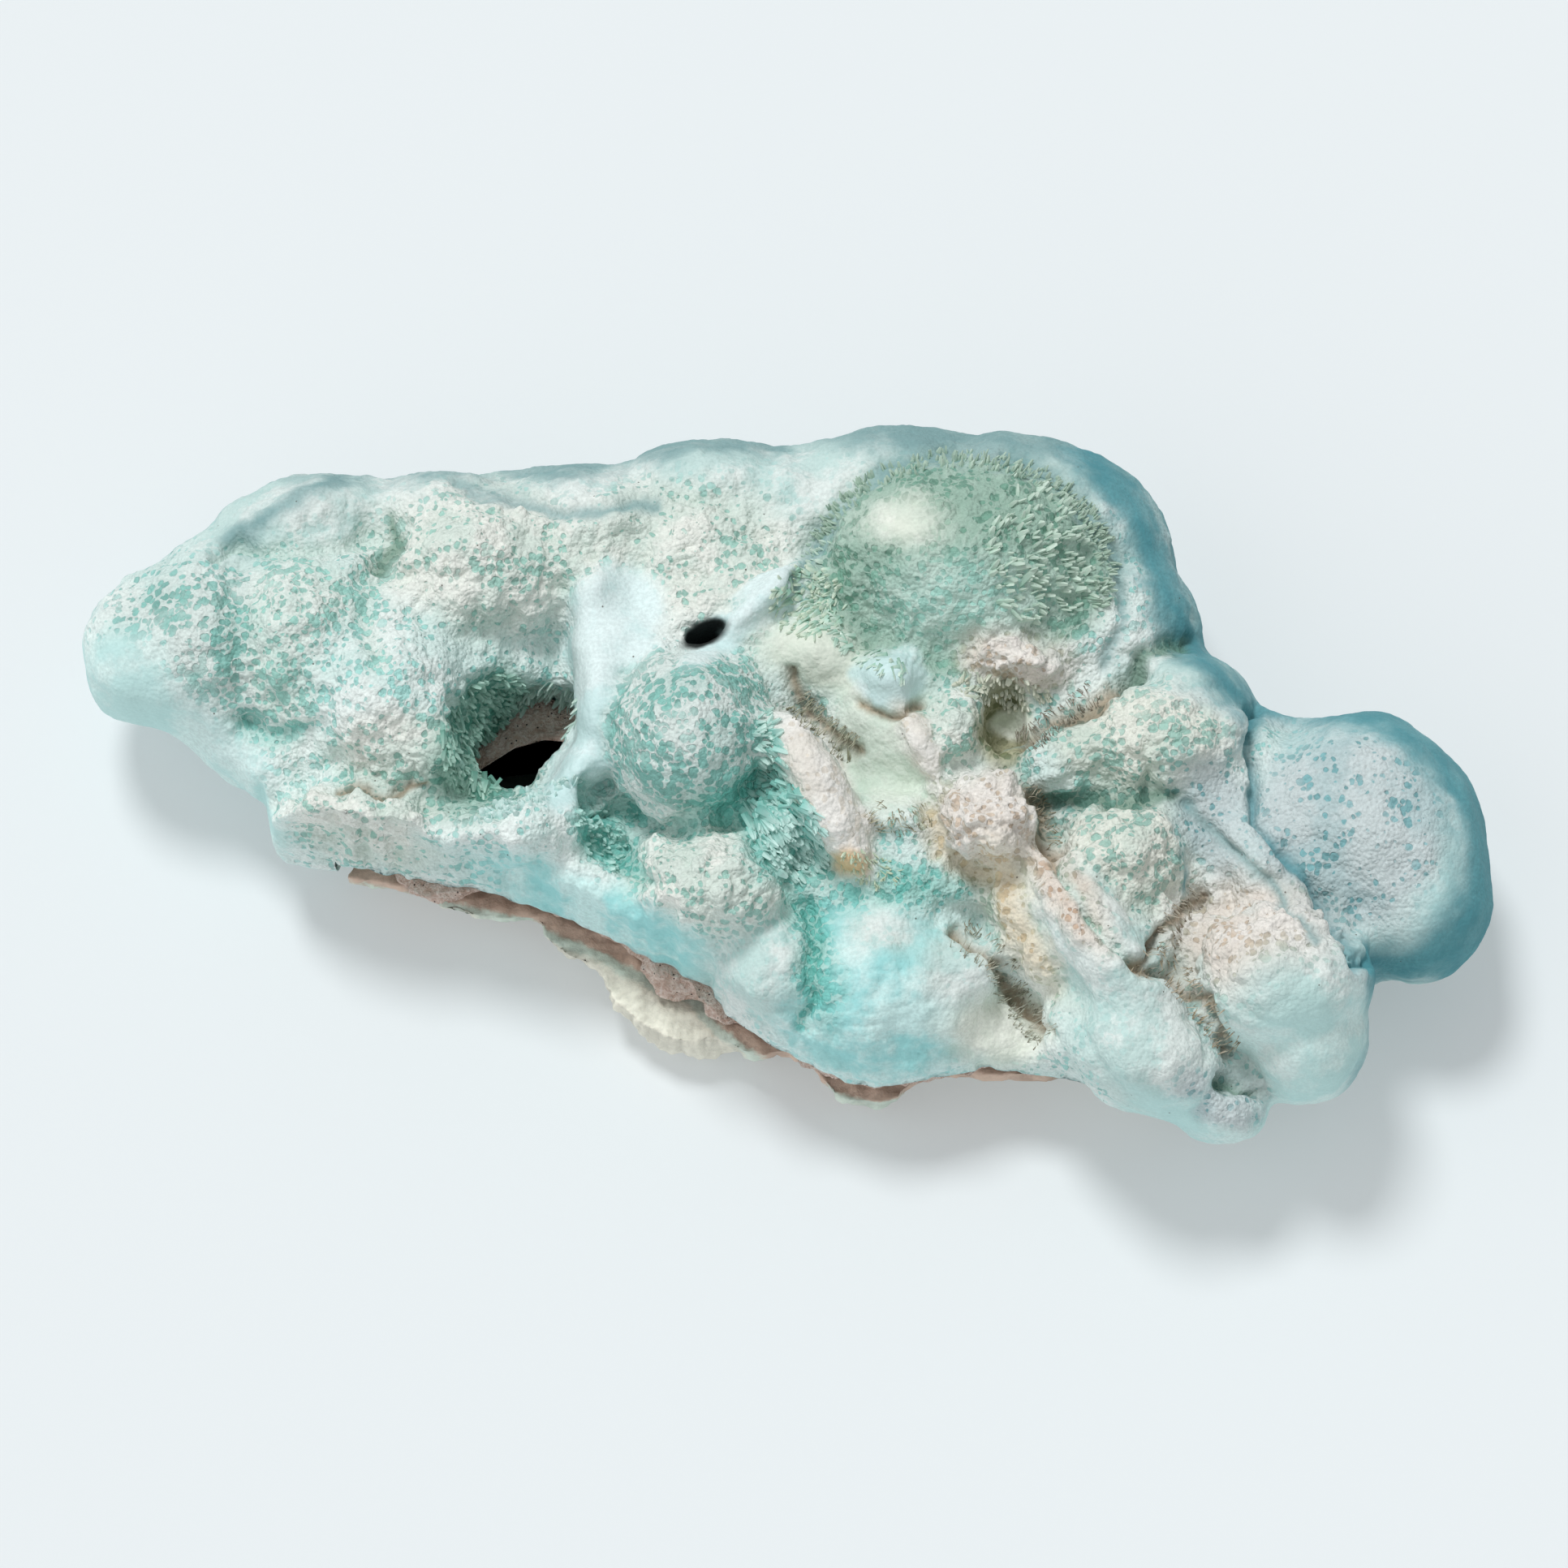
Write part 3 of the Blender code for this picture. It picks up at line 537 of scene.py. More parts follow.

# Valleys and crevices: finish, half width, depth, then the line as across, up. The
# finishes laid along the crevices are partly their own brown and green and partly painted
# shade in the creases. The rows without depth only tint the rim of the specimen.
valleys = [
    ("greyRim", 1.8, 0, [(-68, 30), (-60, 36), (-53, 38.6), (-40, 39), (-28, 38.8), (-18, 40.6),
        (-10, 42.6), (0, 41.4)]),
    ("greyRim", 3.4, 0, [(22, 44.4), (34, 42.6), (41, 38), (45, 31), (47, 24), (48.6, 18)]),
    ("blueRim", 3, 0, [(36.8, 41.4), (40.6, 37.8), (43.8, 33), (46.4, 27.6), (48.6, 21.4),
        (50.8, 16.4), (55.4, 11.6)]),
    ("blueRim", 3.2, 0, [(58, 9.6), (66, 9.4), (74, 8.4), (80, 4), (84.6, -3), (86.8, -11),
        (86.6, -19), (82, -24.6)]),
    ("blueRim", 1.6, 0, [(73, -22.6), (78, -22.4), (83, -20.6)]),
    ("paleRim", 1.6, 0, [(70.6, -26), (69.6, -33), (66, -37.6), (60, -40)]),
    ("honeycombGreen", 0.9, 2, [(-70, 28), (-66.5, 29.6), (-60.6, 29), (-54, 29.6), (-50, 31.6)]),
    ("honeycombGreen", 2.2, 1.4, [(-48.6, 32.4), (-50, 27), (-51.6, 22), (-50.6, 16)]),
    ("creaseShadeGreen", 0.9, 0.8, [(-49.4, 33), (-49, 31.4), (-49.8, 28)]),
    ("honeycombTeal", 1.8, 1.2, [(-67.4, 25.6), (-67.8, 16.6), (-66.6, 8.6), (-61.6, 5.6)]),
    ("deepTeal", 1.5, 1.6, [(-66.8, 6.6), (-63.6, 5.6), (-59.6, 6.4)]),
    ("brown", 0.6, 1.4, [(-54.6, 0), (-49, -0.6), (-43.6, 0.2)]),
    ("honeycomb", 1, 1.2, [(-60, -1), (-58.6, 5), (-56.6, 10)]),
    ("deepTeal", 1.4, 2.2, [(-23.6, -1), (-22, -6.4), (-17.6, -12)]),
    ("deepTeal", 1.2, 1.6, [(-21, -3.4), (-13.6, -5), (-6, -3.6), (-2, 1)]),
    ("greyRim", 1, 1.2, [(-40, 37), (-34, 35.4), (-26, 33.6), (-16, 34.4)]),
    ("greyRim", 1.2, 1.4, [(2, 24), (3.4, 29), (7, 35), (13, 39.6), (21, 41.2), (30, 40), (37, 35),
        (41, 28), (42, 20), (40, 15)]),
    ("brown", 1, 1.4, [(0.6, 13), (3, 8.8), (6.6, 5.4), (8.9, 4.1)]),
    ("brown", 0.7, 1.2, [(8.8, 10), (13.2, 8.6), (17, 10.4)]),
    ("brown", 1, 1.8, [(29.4, 5.6), (33.4, 8), (38.4, 10.6), (42.4, 12.6)]),
    ("creaseShadeGreen", 1, 1.6, [(42.4, 12.6), (45, 16.4), (49.6, 17.6)]),
    ("brown", 0.9, 2, [(29.6, 0.6), (32.4, -3.4), (33.4, -8.4)]),
    ("creaseShadeGreen", 1.3, 1.6, [(33.4, -2.4), (40, -1), (48, -1.4)]),
    ("brown", 0.9, 2.2, [(21.4, -18.4), (26.4, -21.4), (28.4, -26.4), (31.4, -30.4)]),
    ("brown", 0.9, 2.2, [(43.4, -21.4), (48.4, -23.4), (52.4, -28.4), (54.9, -32.9)]),
    ("brown", 0.8, 1.6, [(51.4, -13.4), (47.4, -17.4), (44.4, -22.4)]),
    ("honeycombGreen", 1.2, 1.8, [(34, -9.4), (36.4, -14), (40, -19), (43.4, -22.4)]),
    ("blueRim", 0.8, 2.6, [(57.9, 9.2), (58.4, 0.6), (58.4, -4.4), (62.4, -8.4), (66.4, -14.4),
        (69.4, -18.4), (71.9, -22.4)]),
    ("greyRim", 0.8, 1.2, [(49.4, -2.4), (54, -7.4), (60, -12.4), (66, -18.6)]),
    ("creaseShadeGreen", 0.9, 2.2, [(54, -36), (58.2, -37.9)]),
    ("tanCream", 1, 1.6, [(17.4, -2.4), (18.4, -8), (24, -11.6)]),
    ("deepTeal", 0.9, 1.4, [(-2, -9), (1, -13), (4, -18), (3.4, -26), (2, -31)]),
]

# sizes, heights and reaches in mm; spreads and levels are plain numbers
crust = {
    "fusingVoxel": 0.9,
    "skinVoxel": 0.29,
    "formRounds": 25,
    "swellSize": 7,
    "swellHeight": 1.3,
    "breakStep": 1.4,
    "breakWander": 0.5,
    "finishWander": 2.6,
    "cavityRounds": 60,
    "cavityRoundsQuick": 24,
    "coverSize": 3.6,
    "coverSpread": 1.3,
    "grainSize": 1.3,
    "clumps": ((5.2, 1, 173), (2.5, 0.6, 179), (1.3, 0.35, 191)),  # size, share, seed
    "clumpLevel": 0.75,
    "warpSize": 3,
    "warpReach": 1.6,
    "milkySize": 6,
    "milkySpread": 1.6,
    "cellSize": 1.0,
    "tileEdges": (-52, -22, 4, 30, 54),  # x of the joins between the six skins
    "tileEnds": (-100, 100),
    "joinReach": 1,
    "onJoin": 0.02,
    "paints": ("deepPaint", "crestPaint", "patternAndShade"),
}

# the flutes run outward from the crown, which has none
dome = {
    "place": (21.8, 26.6, 18.4, 14, 0, 0.1),
    "crown": (20, 25),
    "crownEdge": (3, 9),
    "stretch": 1.15,
    "fluteScale": (14, 0.32, 0.2),  # around the crown, away from it and in height
    "fluteSize": 1.1,
    "fluteHeight": 0.45,
    "fluteLevel": 0.15,
}

# painted shade inside the holes, full below the first height: finish, place, and the heights
# between which it fades
holeShades = [
    ("shadedHoleWall", (-33, 3.6, 8.4, 8, 0, 0.3), 13, 25),
    ("holeShadowBlack", (-9.9, 18.5, 4.8, 3.4, 20, 0.2), 26, 30),
]

# thinning is the share of its thickness that the band of rock loses in places
rock = {
    "voxel": 0.42,
    "edgeStep": 1.6,
    "edgeWander": 0.3,
    "spare": 1,
    "grainSize": 1.3,
    "grainHeight": 1.2,
    "lowering": 0.25,
    "pitDepth": 1.1,
    "breakSize": 3,
    "breakDepth": 2.6,
    "thinning": 0.5,
    "leftThinning": 0.9,
    "leftEnd": (-52, -44),
    "smoothAngle": math.radians(40),
}
slitGrain = {"size": 1.6, "height": 0.5}

underside = {
    "fusingVoxel": 0.9,
    "voxel": 0.5,
    "swellSize": 6,
    "swellHeight": 1,
    "cavityRounds": 30,
    "setback": 1.5,
    "sheetSetback": 2.5,
    "sheetBottom": 5.2,
    "fanMiddle": (-12, -21),
    "fanEdge": (3, 7),
    "ribCount": 24,
    "ribWaver": 3,
    "ribHeight": 0.3,
    "grainSize": 1.4,
    "grainHeight": 1.2,
    "lowering": 0.5,
    "bandWidth": 12,
}


def linear(rgb):
    return tuple((c / 255 / 12.92) if c <= 10 else ((c / 255 + 0.055) / 1.055) ** 2.4 for c in rgb)


def patchWeight(u, v, across, up, wide, tall, turn, soft):
    c, s = math.cos(math.radians(turn)), math.sin(math.radians(turn))
    du, dv = u - across, v - up
    reach = np.sqrt(((du * c + dv * s) / wide) ** 2 + ((dv * c - du * s) / tall) ** 2)
    return 1 - smoothStep(1 - soft, 1 + soft, reach)


def lineDistance(u, v, line):
    best = np.full(len(u), 1e9)
    for (ax, ay), (bx, by) in zip(line, line[1:]):
        dx, dy = bx - ax, by - ay
        t = np.clip(((u - ax) * dx + (v - ay) * dy) / (dx * dx + dy * dy), 0, 1)
        best = np.minimum(best, np.hypot(u - ax - t * dx, v - ay - t * dy))
    return best


def finishRow(name):
    ends, frosting, *measures = finishes[name]
    return np.array((*linear(ends), *linear(frosting), *measures))


def laid(look, weight, name):
    w = np.clip(weight, 0, 1)[:, None]
    return look * (1 - w) + finishRow(name) * w


def selectFaces(obj, chosen):
    pickOnly(obj)
    mesh = obj.data
    mesh.vertices.foreach_set("select", np.zeros(len(mesh.vertices), dtype=bool))
    mesh.edges.foreach_set("select", np.zeros(len(mesh.edges), dtype=bool))
    mesh.polygons.foreach_set("select", chosen)
    bpy.ops.object.mode_set(mode="EDIT")
    bpy.ops.mesh.select_mode(type="FACE")


def buildCrust():
    lumps = lumpsAsOne(crustLumps, "crustSkin")
    rim = plateOver(frontEdge + backEdge, layers["rockBottom"], layers["rimTop"], "rim")
    coreEdge = shifted(frontEdge, 0, layers["coreSetback"])
    core = plateOver(coreEdge + backEdge, layers["rockTop"], layers["coreTop"], "core")
    skin = joined([lumps, rim, core], "crustSkin")
    remeshed(skin, crust["fusingVoxel"])
    hollow = lumpsAsOne(crustHollows, "hollows", upright=True)
    remeshed(hollow, crust["fusingVoxel"])
    cutAway(skin, hollow)
    remeshed(skin, crust["fusingVoxel"])
    smoothed(skin, 3)
    points = pointsOf(skin.data)
    u, v = seenFrom(points)
    soft = np.clip(sum(patchWeight(u, v, *place) for place in softPlaces), 0, 1)[:, None]
    formed = neighbourMean(skin.data, points, crust["formRounds"])
    setPoints(skin.data, points + soft * (formed - points))
    rolled(skin, "rolling", crust["swellSize"], crust["swellHeight"])
    edge = leftCorner + uneven(frontEdge, crust["breakStep"], crust["breakWander"], 3)
    below = shifted(reversed(edge), 0, -layers["breakReach"])
    cutAway(skin, plateOver(edge + below, layers["farBelow"], layers["farAbove"], "frontBreak"))
    print("crust shaped")
    remeshed(skin, crust["skinVoxel"] * fine)
    smoothed(skin, 6)
    top = layers["rockTop"] + layers["gap"]
    cutAway(skin, plateOver(behindBreak(rockBackEdge), layers["farBelow"], top, "underRock"))
    print("crust skin", len(skin.data.vertices), "points")
    return skin


def layFinishes(here, u, v, normals):
    look = np.tile(finishRow("honeycomb"), (len(here), 1))
    for name, *place in finishPlaces:
        look = laid(look, patchWeight(u, v, *place), name)
    # steep outer sides take colours by the way they face: blue on the right and grey-green at the
    # back, and pale on the left, where the pale is painted light for sides that get little light
    x, (nx, ny, nz) = here[:, 0], normals.T
    steep = 1 - smoothStep(0.05, 0.50, nz + 0.3 * (softNoise(here, 4, 5) - 0.5))
    right = smoothStep(32, 48, x) * smoothStep(-0.4, 0.3, nx + 0.6 * ny)
    behind = smoothStep(0.1, 0.6, ny) * (1 - smoothStep(30, 46, x))
    left = smoothStep(-0.5, 0.2, -nx - 0.6 * ny) * (1 - smoothStep(-64, -58, x))
    look = laid(look, steep * left, "paleRim")
    look = laid(look, 0.7 * steep * behind, "greyRim")
    pale = patchWeight(u, v, 56, -30, 15, 16, 0, 0.2)
    look = laid(look, steep * right * (1 - pale), "blueRim")
    look = laid(look, steep * pale, "paleRim")
    # faces that point down are made pale as painted light, since little light falls on them
    return laid(look, 1 - smoothStep(-0.55, -0.15, nz), "paleRim")


def layValleys(look, here, u, v, topSide):
    wander = 0.5 + roughNoise(here, 2.2, 71)
    fading = 0.3 + softNoise(here, 3.5, 83)
    carve = np.zeros(len(here))
    for name, width, depth, line in valleys:
        d = lineDistance(u, v, line) / wander
        carve += depth * np.exp(-(d / width) ** 2) * fading
        # the finish laid along a crevice is partly painted shade in the crease
        strength = 0.8 * topSide if depth else 0.95
        look = laid(look, strength * np.exp(-(d / (0.8 * width)) ** 2), name)
    return look, carve * topSide


def carveAndPaint(skin):
    mesh = skin.data
    points, normals = pointsOf(mesh), normalsOf(mesh)
    here = points / mm
    u, v = seenFrom(points)
    # the edges of the finishes wander a little
    u = u + crust["finishWander"] * (roughNoise(here, 4, 3) - 0.5)
    v = v + crust["finishWander"] * (roughNoise(here, 4, 41) - 0.5)
    look = layFinishes(here, u, v, normals)
    look, carve = layValleys(look, here, u, v, smoothStep(-0.1, 0.35, normals[:, 2]))
    # painted shade darkens the holes below the given heights
    for name, place, low, high in holeShades:
        inside = patchWeight(u, v, *place) * (1 - smoothStep(low, high, here[:, 2]))
        look = laid(look, inside, name)
    # how deep the hollows of the mid-sized shape lie, for the painted shade that darkens them
    rounds = crust["cavityRounds"]
    cavity = cavityOf(mesh, points, normals, rounds)
    frost, cells, grain, gloss, crag = (look[:, k] for k in range(6, 11))
    broad = roughNoise(here, crust["coverSize"], 131, 3) - 0.5
    cover = np.clip(0.25 + 0.5 * (frost + crust["coverSpread"] * broad), 0, 1)
    relief = grain * (roughNoise(here, crust["grainSize"], 161, 3) - 0.5)
    stray = softNoise(here, crust["warpSize"], 7) - 0.5
    warped = here + crust["warpReach"] * stray[:, None]
    clumps = sum(share * ridged(softNoise(warped, size, seed))
                 for size, share, seed in crust["clumps"])
    relief += crag * (clumps - crust["clumpLevel"])
    across, up = dome["crown"]
    out, rise = u - across, dome["stretch"] * (v - up)
    around, away = np.arctan2(rise, out), np.hypot(out, rise)
    fluted = np.column_stack((around, away, here[:, 2])) * np.array(dome["fluteScale"])
    flutes = ridged(roughNoise(fluted, dome["fluteSize"], 223, 2))
    onDome = patchWeight(u, v, *dome["place"])
    fluteRelief = dome["fluteHeight"] * flutes - dome["fluteLevel"]
    relief += onDome * smoothStep(*dome["crownEdge"], away) * fluteRelief
    relief -= carve
    # the flat underside, which no one sees, stays flat
    top = layers["rockTop"] + layers["gap"]
    relief[(normals[:, 2] < -0.97) & (np.abs(here[:, 2] - top) < 0.25)] = 0
    setPoints(mesh, points + normals * (relief * mm)[:, None])
    milk = roughNoise(here, crust["milkySize"], 211, 2) - 0.5
    milky = np.clip(0.5 + crust["milkySpread"] * milk, 0, 1)
    milky = np.clip(milky + onDome * (0.9 * flutes - 0.3), 0, 1)
    # painted shade: the deeper a hollow, the darker the shader paints it
    sunk = np.clip(0.5 + cavity * 0.4, 0, 1)
    setPaint(mesh, "deepPaint", np.column_stack((look[:, 0:3], cover)))
    setPaint(mesh, "crestPaint", np.column_stack((look[:, 3:6], gloss)))
    setPaint(mesh, "patternAndShade", np.column_stack((cells, sunk, milky, np.ones(len(points)))))
    mesh.shade_smooth()
    # the normals are kept, so that the joins between the skins can't be seen
    kept = mesh.attributes.new("wholeNormal", "FLOAT_VECTOR", "POINT")
    kept.data.foreach_set("vector", normalsOf(mesh).astype(np.float32).ravel())
    print("crust carved and painted")


def takeFromWhole(mesh, cut, source, normals, paints):
    # points on the cut take the normal and the paint of the whole skin
    whole = mesh.attributes["wholeNormal"]
    kept = rowsOf(whole.data, "vector", 3)
    kept[cut] = normals[source]
    mesh.attributes.remove(whole)
    own = mesh.attributes.new("custom_normal", "FLOAT_VECTOR", "POINT")
    own.data.foreach_set("vector", kept.ravel())
    for name, rows in paints.items():
        paint = mesh.attributes[name].data
        mixed = rowsOf(paint, "color", 4)
        mixed[cut] = rows[source]
        paint.foreach_set("color", mixed.ravel())


def splitSkin(skin):
    # a skin this fine is parted into closed pieces that each keep to the size limit
    first, last = crust["tileEnds"]
    edges = (first, *crust["tileEdges"], last)
    points, normals = pointsOf(skin.data), normalsOf(skin.data)
    paints = {name: rowsOf(skin.data.attributes[name].data, "color", 4) for name in crust["paints"]}
    offJoin = np.min(np.abs(points[:, 0:1] / mm - np.array(crust["tileEdges"])), axis=1)
    nearJoin = np.flatnonzero(offJoin < crust["joinReach"])
    tree = KDTree(len(nearJoin))
    for k in nearJoin:
        tree.insert(points[k], int(k))
    tree.balance()
    pieces = []
    for index, (left, right) in enumerate(zip(edges, edges[1:])):
        piece = skin.copy()
        piece.data = skin.data.copy()
        piece.name = f"crustSkin{index + 1}"
        bpy.context.scene.collection.objects.link(piece)
        bpy.ops.mesh.primitive_cube_add(size=1, location=((left + right) / 2 * mm, 0, 0))
        box = bpy.context.object
        box.scale = ((right - left) * mm, 0.4, 0.4)
        bpy.context.view_layer.update()
        cutAway(piece, box, "INTERSECT")
        here = pointsOf(piece.data)
        offEnds = np.abs(here[:, 0:1] - np.array((left, right)) * mm)
        cut = np.flatnonzero(offEnds.min(axis=1) < crust["onJoin"] * mm)
        source = np.array([tree.find(here[k])[1] for k in cut], dtype=np.int64)
        takeFromWhole(piece.data, cut, source, normals, paints)
        pieces.append(piece)
        print(piece.name, triangleCount(piece), "triangles")
    bpy.data.objects.remove(skin)
    return pieces


# Crystals and hairs are one shape each, modelled once and copied.
def modelCrystal(sides, shoulder, tip):
    bpy.ops.mesh.primitive_cylinder_add(vertices=sides, radius=1, depth=shoulder,
                                        location=(0, 0, shoulder / 2))
    crystal = bpy.context.object
    bpy.ops.object.transform_apply(location=True, rotation=True, scale=True)
    top = np.array([face.normal.z > 0.9 for face in crystal.data.polygons])
    selectFaces(crystal, top)
    bpy.ops.transform.resize(value=(0.8, 0.8, 1))
    bpy.ops.mesh.extrude_region_move(TRANSFORM_OT_translate={"value": (0, 0, 1 - shoulder)})
    bpy.ops.transform.resize(value=(tip, tip, 1))
    bpy.ops.object.mode_set(mode="OBJECT")
    corners = np.array([v.co[:] for v in crystal.data.vertices])
    # the extrusion leaves its corners and faces in a new order each run, so both are sorted
    order = sorted(range(len(corners)), key=lambda k: tuple(np.round(corners[k], 4)))
    faces = []
    for polygon in crystal.data.polygons:
        ring = [order.index(k) for k in polygon.vertices]
        first = ring.index(min(ring))
        faces.append(tuple(ring[first:] + ring[:first]))
    bpy.data.objects.remove(crystal)
    return corners[order], sorted(faces)


def planted(name, shape, spots):
    # spots: foot, direction, length, width, thickness, twist, base colour, tip colour
    corners, faces = shape
    count, size = len(spots), len(corners)
    foot = np.array([s[0] for s in spots])
    way = np.array([s[1] for s in spots])
    way /= np.linalg.norm(way, axis=1)[:, None]
    length, width, thick, twist = (np.array([s[k] for s in spots])[:, None] for k in (2, 3, 4, 5))
    side = np.cross(way, np.where(np.abs(way[:, 2:3]) < 0.9, (0, 0, 1), (1, 0, 0)))
    side /= np.linalg.norm(side, axis=1)[:, None]
    third = np.cross(way, side)
    turnedSide = side * np.cos(twist) + third * np.sin(twist)
    third = np.cross(way, turnedSide)
    points = (foot[:, None, :] + corners[None, :, 0:1] * (turnedSide * width)[:, None, :]
              + corners[None, :, 1:2] * (third * thick)[:, None, :]
              + corners[None, :, 2:3] * (way * length)[:, None, :])
    base = np.array([s[6] for s in spots])[:, None, :]
    tip = np.array([s[7] for s in spots])[:, None, :]
    rise = corners[None, :, 2:3]
    paint = base * (1 - rise) + tip * rise
    mesh = bpy.data.meshes.new(name)
    mesh.from_pydata(points.reshape(-1, 3).tolist(), [],
                     [tuple(i * size + k for k in face) for i in range(count) for face in faces])
    mesh.update()
    paint = np.concatenate((paint, np.ones((count, size, 1))), axis=2)
    setPaint(mesh, "crystalPaint", paint.reshape(-1, 4))
    piece = bpy.data.objects.new(name, mesh)
    bpy.context.scene.collection.objects.link(piece)
    print(name, count, "crystals", triangleCount(piece), "triangles")
    return piece


# Beds of crystals: place is across, up, half width, half height and turn; ring and arc
# keep to a part of it; sunk is the share of a crystal inside the skin; away is the point
# they lean from, and lean how much.
crystalBeds = {
    "domeRim": {"place": (21.8, 26.4, 18.6, 14.2, 0), "ring": (0.88, 1.02),
        "arc": (-20, 165), "count": 380, "length": (1.2, 3), "width": 0.34, "sunk": 0.64,
        "away": (17, 22), "lean": 1.8, "base": (126, 166, 148), "tip": (182, 204, 188)},
    "domeLeft": {"place": (21.8, 26.4, 18.6, 14.2, 0), "ring": (0.92, 1.06),
        "arc": (165, 250), "count": 110, "length": (1, 2), "width": 0.34, "sunk": 0.6,
        "away": (17, 22), "lean": 1.4, "base": (152, 194, 176), "tip": (206, 224, 212)},
    "domeRight": {"place": (31.6, 28.2, 6.6, 8.6, 0),
        "count": 200, "length": (1.6, 3.8), "width": 0.5, "sunk": 0.68,
        "away": (17, 22), "lean": 1.8, "base": (146, 190, 170), "tip": (198, 218, 204)},
    "domeFoot": {"place": (3, 22.4, 4.6, 4.6, 40),
        "count": 150, "length": (1, 2), "width": 0.4, "sunk": 0.6,
        "away": (9, 27), "lean": 1.4, "base": (150, 194, 176), "tip": (214, 226, 208)},
    "tealBank": {"place": (0.4, -5.6, 4.4, 6.6, 25),
        "count": 300, "length": (1.4, 3.2), "width": 0.5, "sunk": 0.6,
        "away": (-8, 2), "lean": 1.8, "base": (124, 192, 182), "tip": (200, 230, 224)},
    "ballSide": {"place": (-1.4, 3, 1.8, 6.5, 10),
        "count": 90, "length": (1.2, 2.6), "width": 0.44, "sunk": 0.55,
        "away": (-10, 6), "lean": 1.8, "base": (130, 192, 182), "tip": (200, 228, 220)},
    "holeSide": {"place": (-36.6, 6, 5.2, 8, -20),
        "count": 420, "length": (1.2, 2.8), "width": 0.46, "sunk": 0.68,
        "away": (-42, 13), "lean": 1.4, "base": (104, 160, 144), "tip": (166, 202, 188)},
    "holeFan": {"place": (-29.4, 8.6, 4.4, 3.6, 30),
        "count": 260, "length": (1.6, 3.6), "width": 0.34, "sunk": 0.6,
        "away": (-24, 17), "lean": 1.8, "base": (130, 172, 158), "tip": (194, 214, 204)},
    "holeLip": {"place": (-31.6, -2, 7, 1.2, 22),
        "count": 80, "length": (0.9, 1.6), "width": 0.5, "sunk": 0.55,
        "away": (-31, -9), "lean": 0.9, "base": (172, 214, 210), "tip": (206, 230, 226)},
    "frontNotch": {"place": (-22.4, -6.6, 2.6, 4.6, 30),
        "count": 70, "length": (1, 2), "width": 0.44, "sunk": 0.66,
        "away": (-28, -3), "lean": 1, "base": (124, 194, 184), "tip": (184, 222, 214)},
    "rodFoot": {"place": (10.6, -10.4, 4, 2, -20),
        "count": 70, "length": (0.8, 1.6), "width": 0.2, "sunk": 0.5,
        "away": (8, -4), "lean": 1, "base": (150, 184, 160), "tip": (206, 216, 192)},
    "overhangEdge": {"place": (27, 11.4, 6, 2, -10),
        "count": 110, "length": (0.9, 1.8), "width": 0.32, "sunk": 0.55,
        "away": (28, 17), "lean": 1.2, "base": (176, 192, 174), "tip": (222, 224, 208)},
}

# Combs of fine hairs that lean over a crevice from both of its sides.
hairCombs = [
    {"line": [(1.6, 10.6), (3, 8.8), (6.6, 5.4), (8.9, 4.1)],
     "reach": 2, "count": 150, "base": (96, 84, 60), "tip": (186, 190, 162)},
    {"line": [(29.6, 4.8), (31.6, 6.6), (35, 9), (38.4, 11.2)],
     "reach": 1.8, "count": 150, "base": (96, 84, 70), "tip": (176, 170, 154)},
    {"line": [(29.6, 0.6), (32.4, -3.4), (33.4, -8.4)],
     "reach": 1.2, "count": 50, "base": (110, 92, 68), "tip": (196, 188, 162)},
    {"line": [(21.4, -18.4), (26.4, -21.4), (28.4, -26.4), (32.4, -31.4)],
     "reach": 2.2, "count": 190, "base": (104, 92, 68), "tip": (190, 196, 178)},
    {"line": [(43.4, -21.4), (48.4, -23.4), (52.4, -28.4), (54.9, -32.9)],
     "reach": 2, "count": 140, "base": (116, 94, 68), "tip": (196, 186, 160)},
    {"line": [(51.4, -13.4), (47.4, -17.4), (47.4, -21.4)],
     "reach": 1.6, "count": 80, "base": (112, 94, 72), "tip": (190, 186, 168)},
    {"line": [(11, -3), (13, -5.4), (18, -3.6)],
     "reach": 1.6, "count": 90, "base": (124, 114, 84), "tip": (200, 200, 176)},
]


# what all beds and all combs share; the lengths and widths of hairs are in mm, those of
# crystals are shares of their bed's own
lowestFoot = 3 * mm
bedHabit = {"jitter": 0.75, "width": (0.5, 1.4), "thickness": (0.4, 0.8),
            "baseShade": (0.9, 1.1), "tipShade": (0.9, 1.05)}
hairHabit = {"lean": 1.1, "jitter": 0.6, "offset": (0.35, 1), "length": (0.7, 2),
             "width": (0.05, 0.1), "sunk": 0.25,
             "baseShade": (0.6, 1.2), "tipShade": (0.75, 1.05)}


def tinted(rgb, shades, chance):
    return np.array(linear(rgb)) * chance.uniform(*shades)


def sightLine(across, up):
    aim = placeSeen(0, 0, photoView["aimHeight"])
    eye = aim + Vector((0, -cosView, sinView)) * photoView["distance"]
    goal = aim + Vector((across, up * sinView, up * cosView)) * mm
    return eye, (goal - eye).normalized()


def leaning(normal, du, dv, lean, jitter, chance):
    out = Vector((du, dv * sinView, dv * cosView))
    if out.length > 0:
        out.normalize()
    wild = Vector((chance.uniform(-1, 1), chance.uniform(-1, 1), chance.uniform(-1, 1)))
    return normal + out * lean + wild * jitter


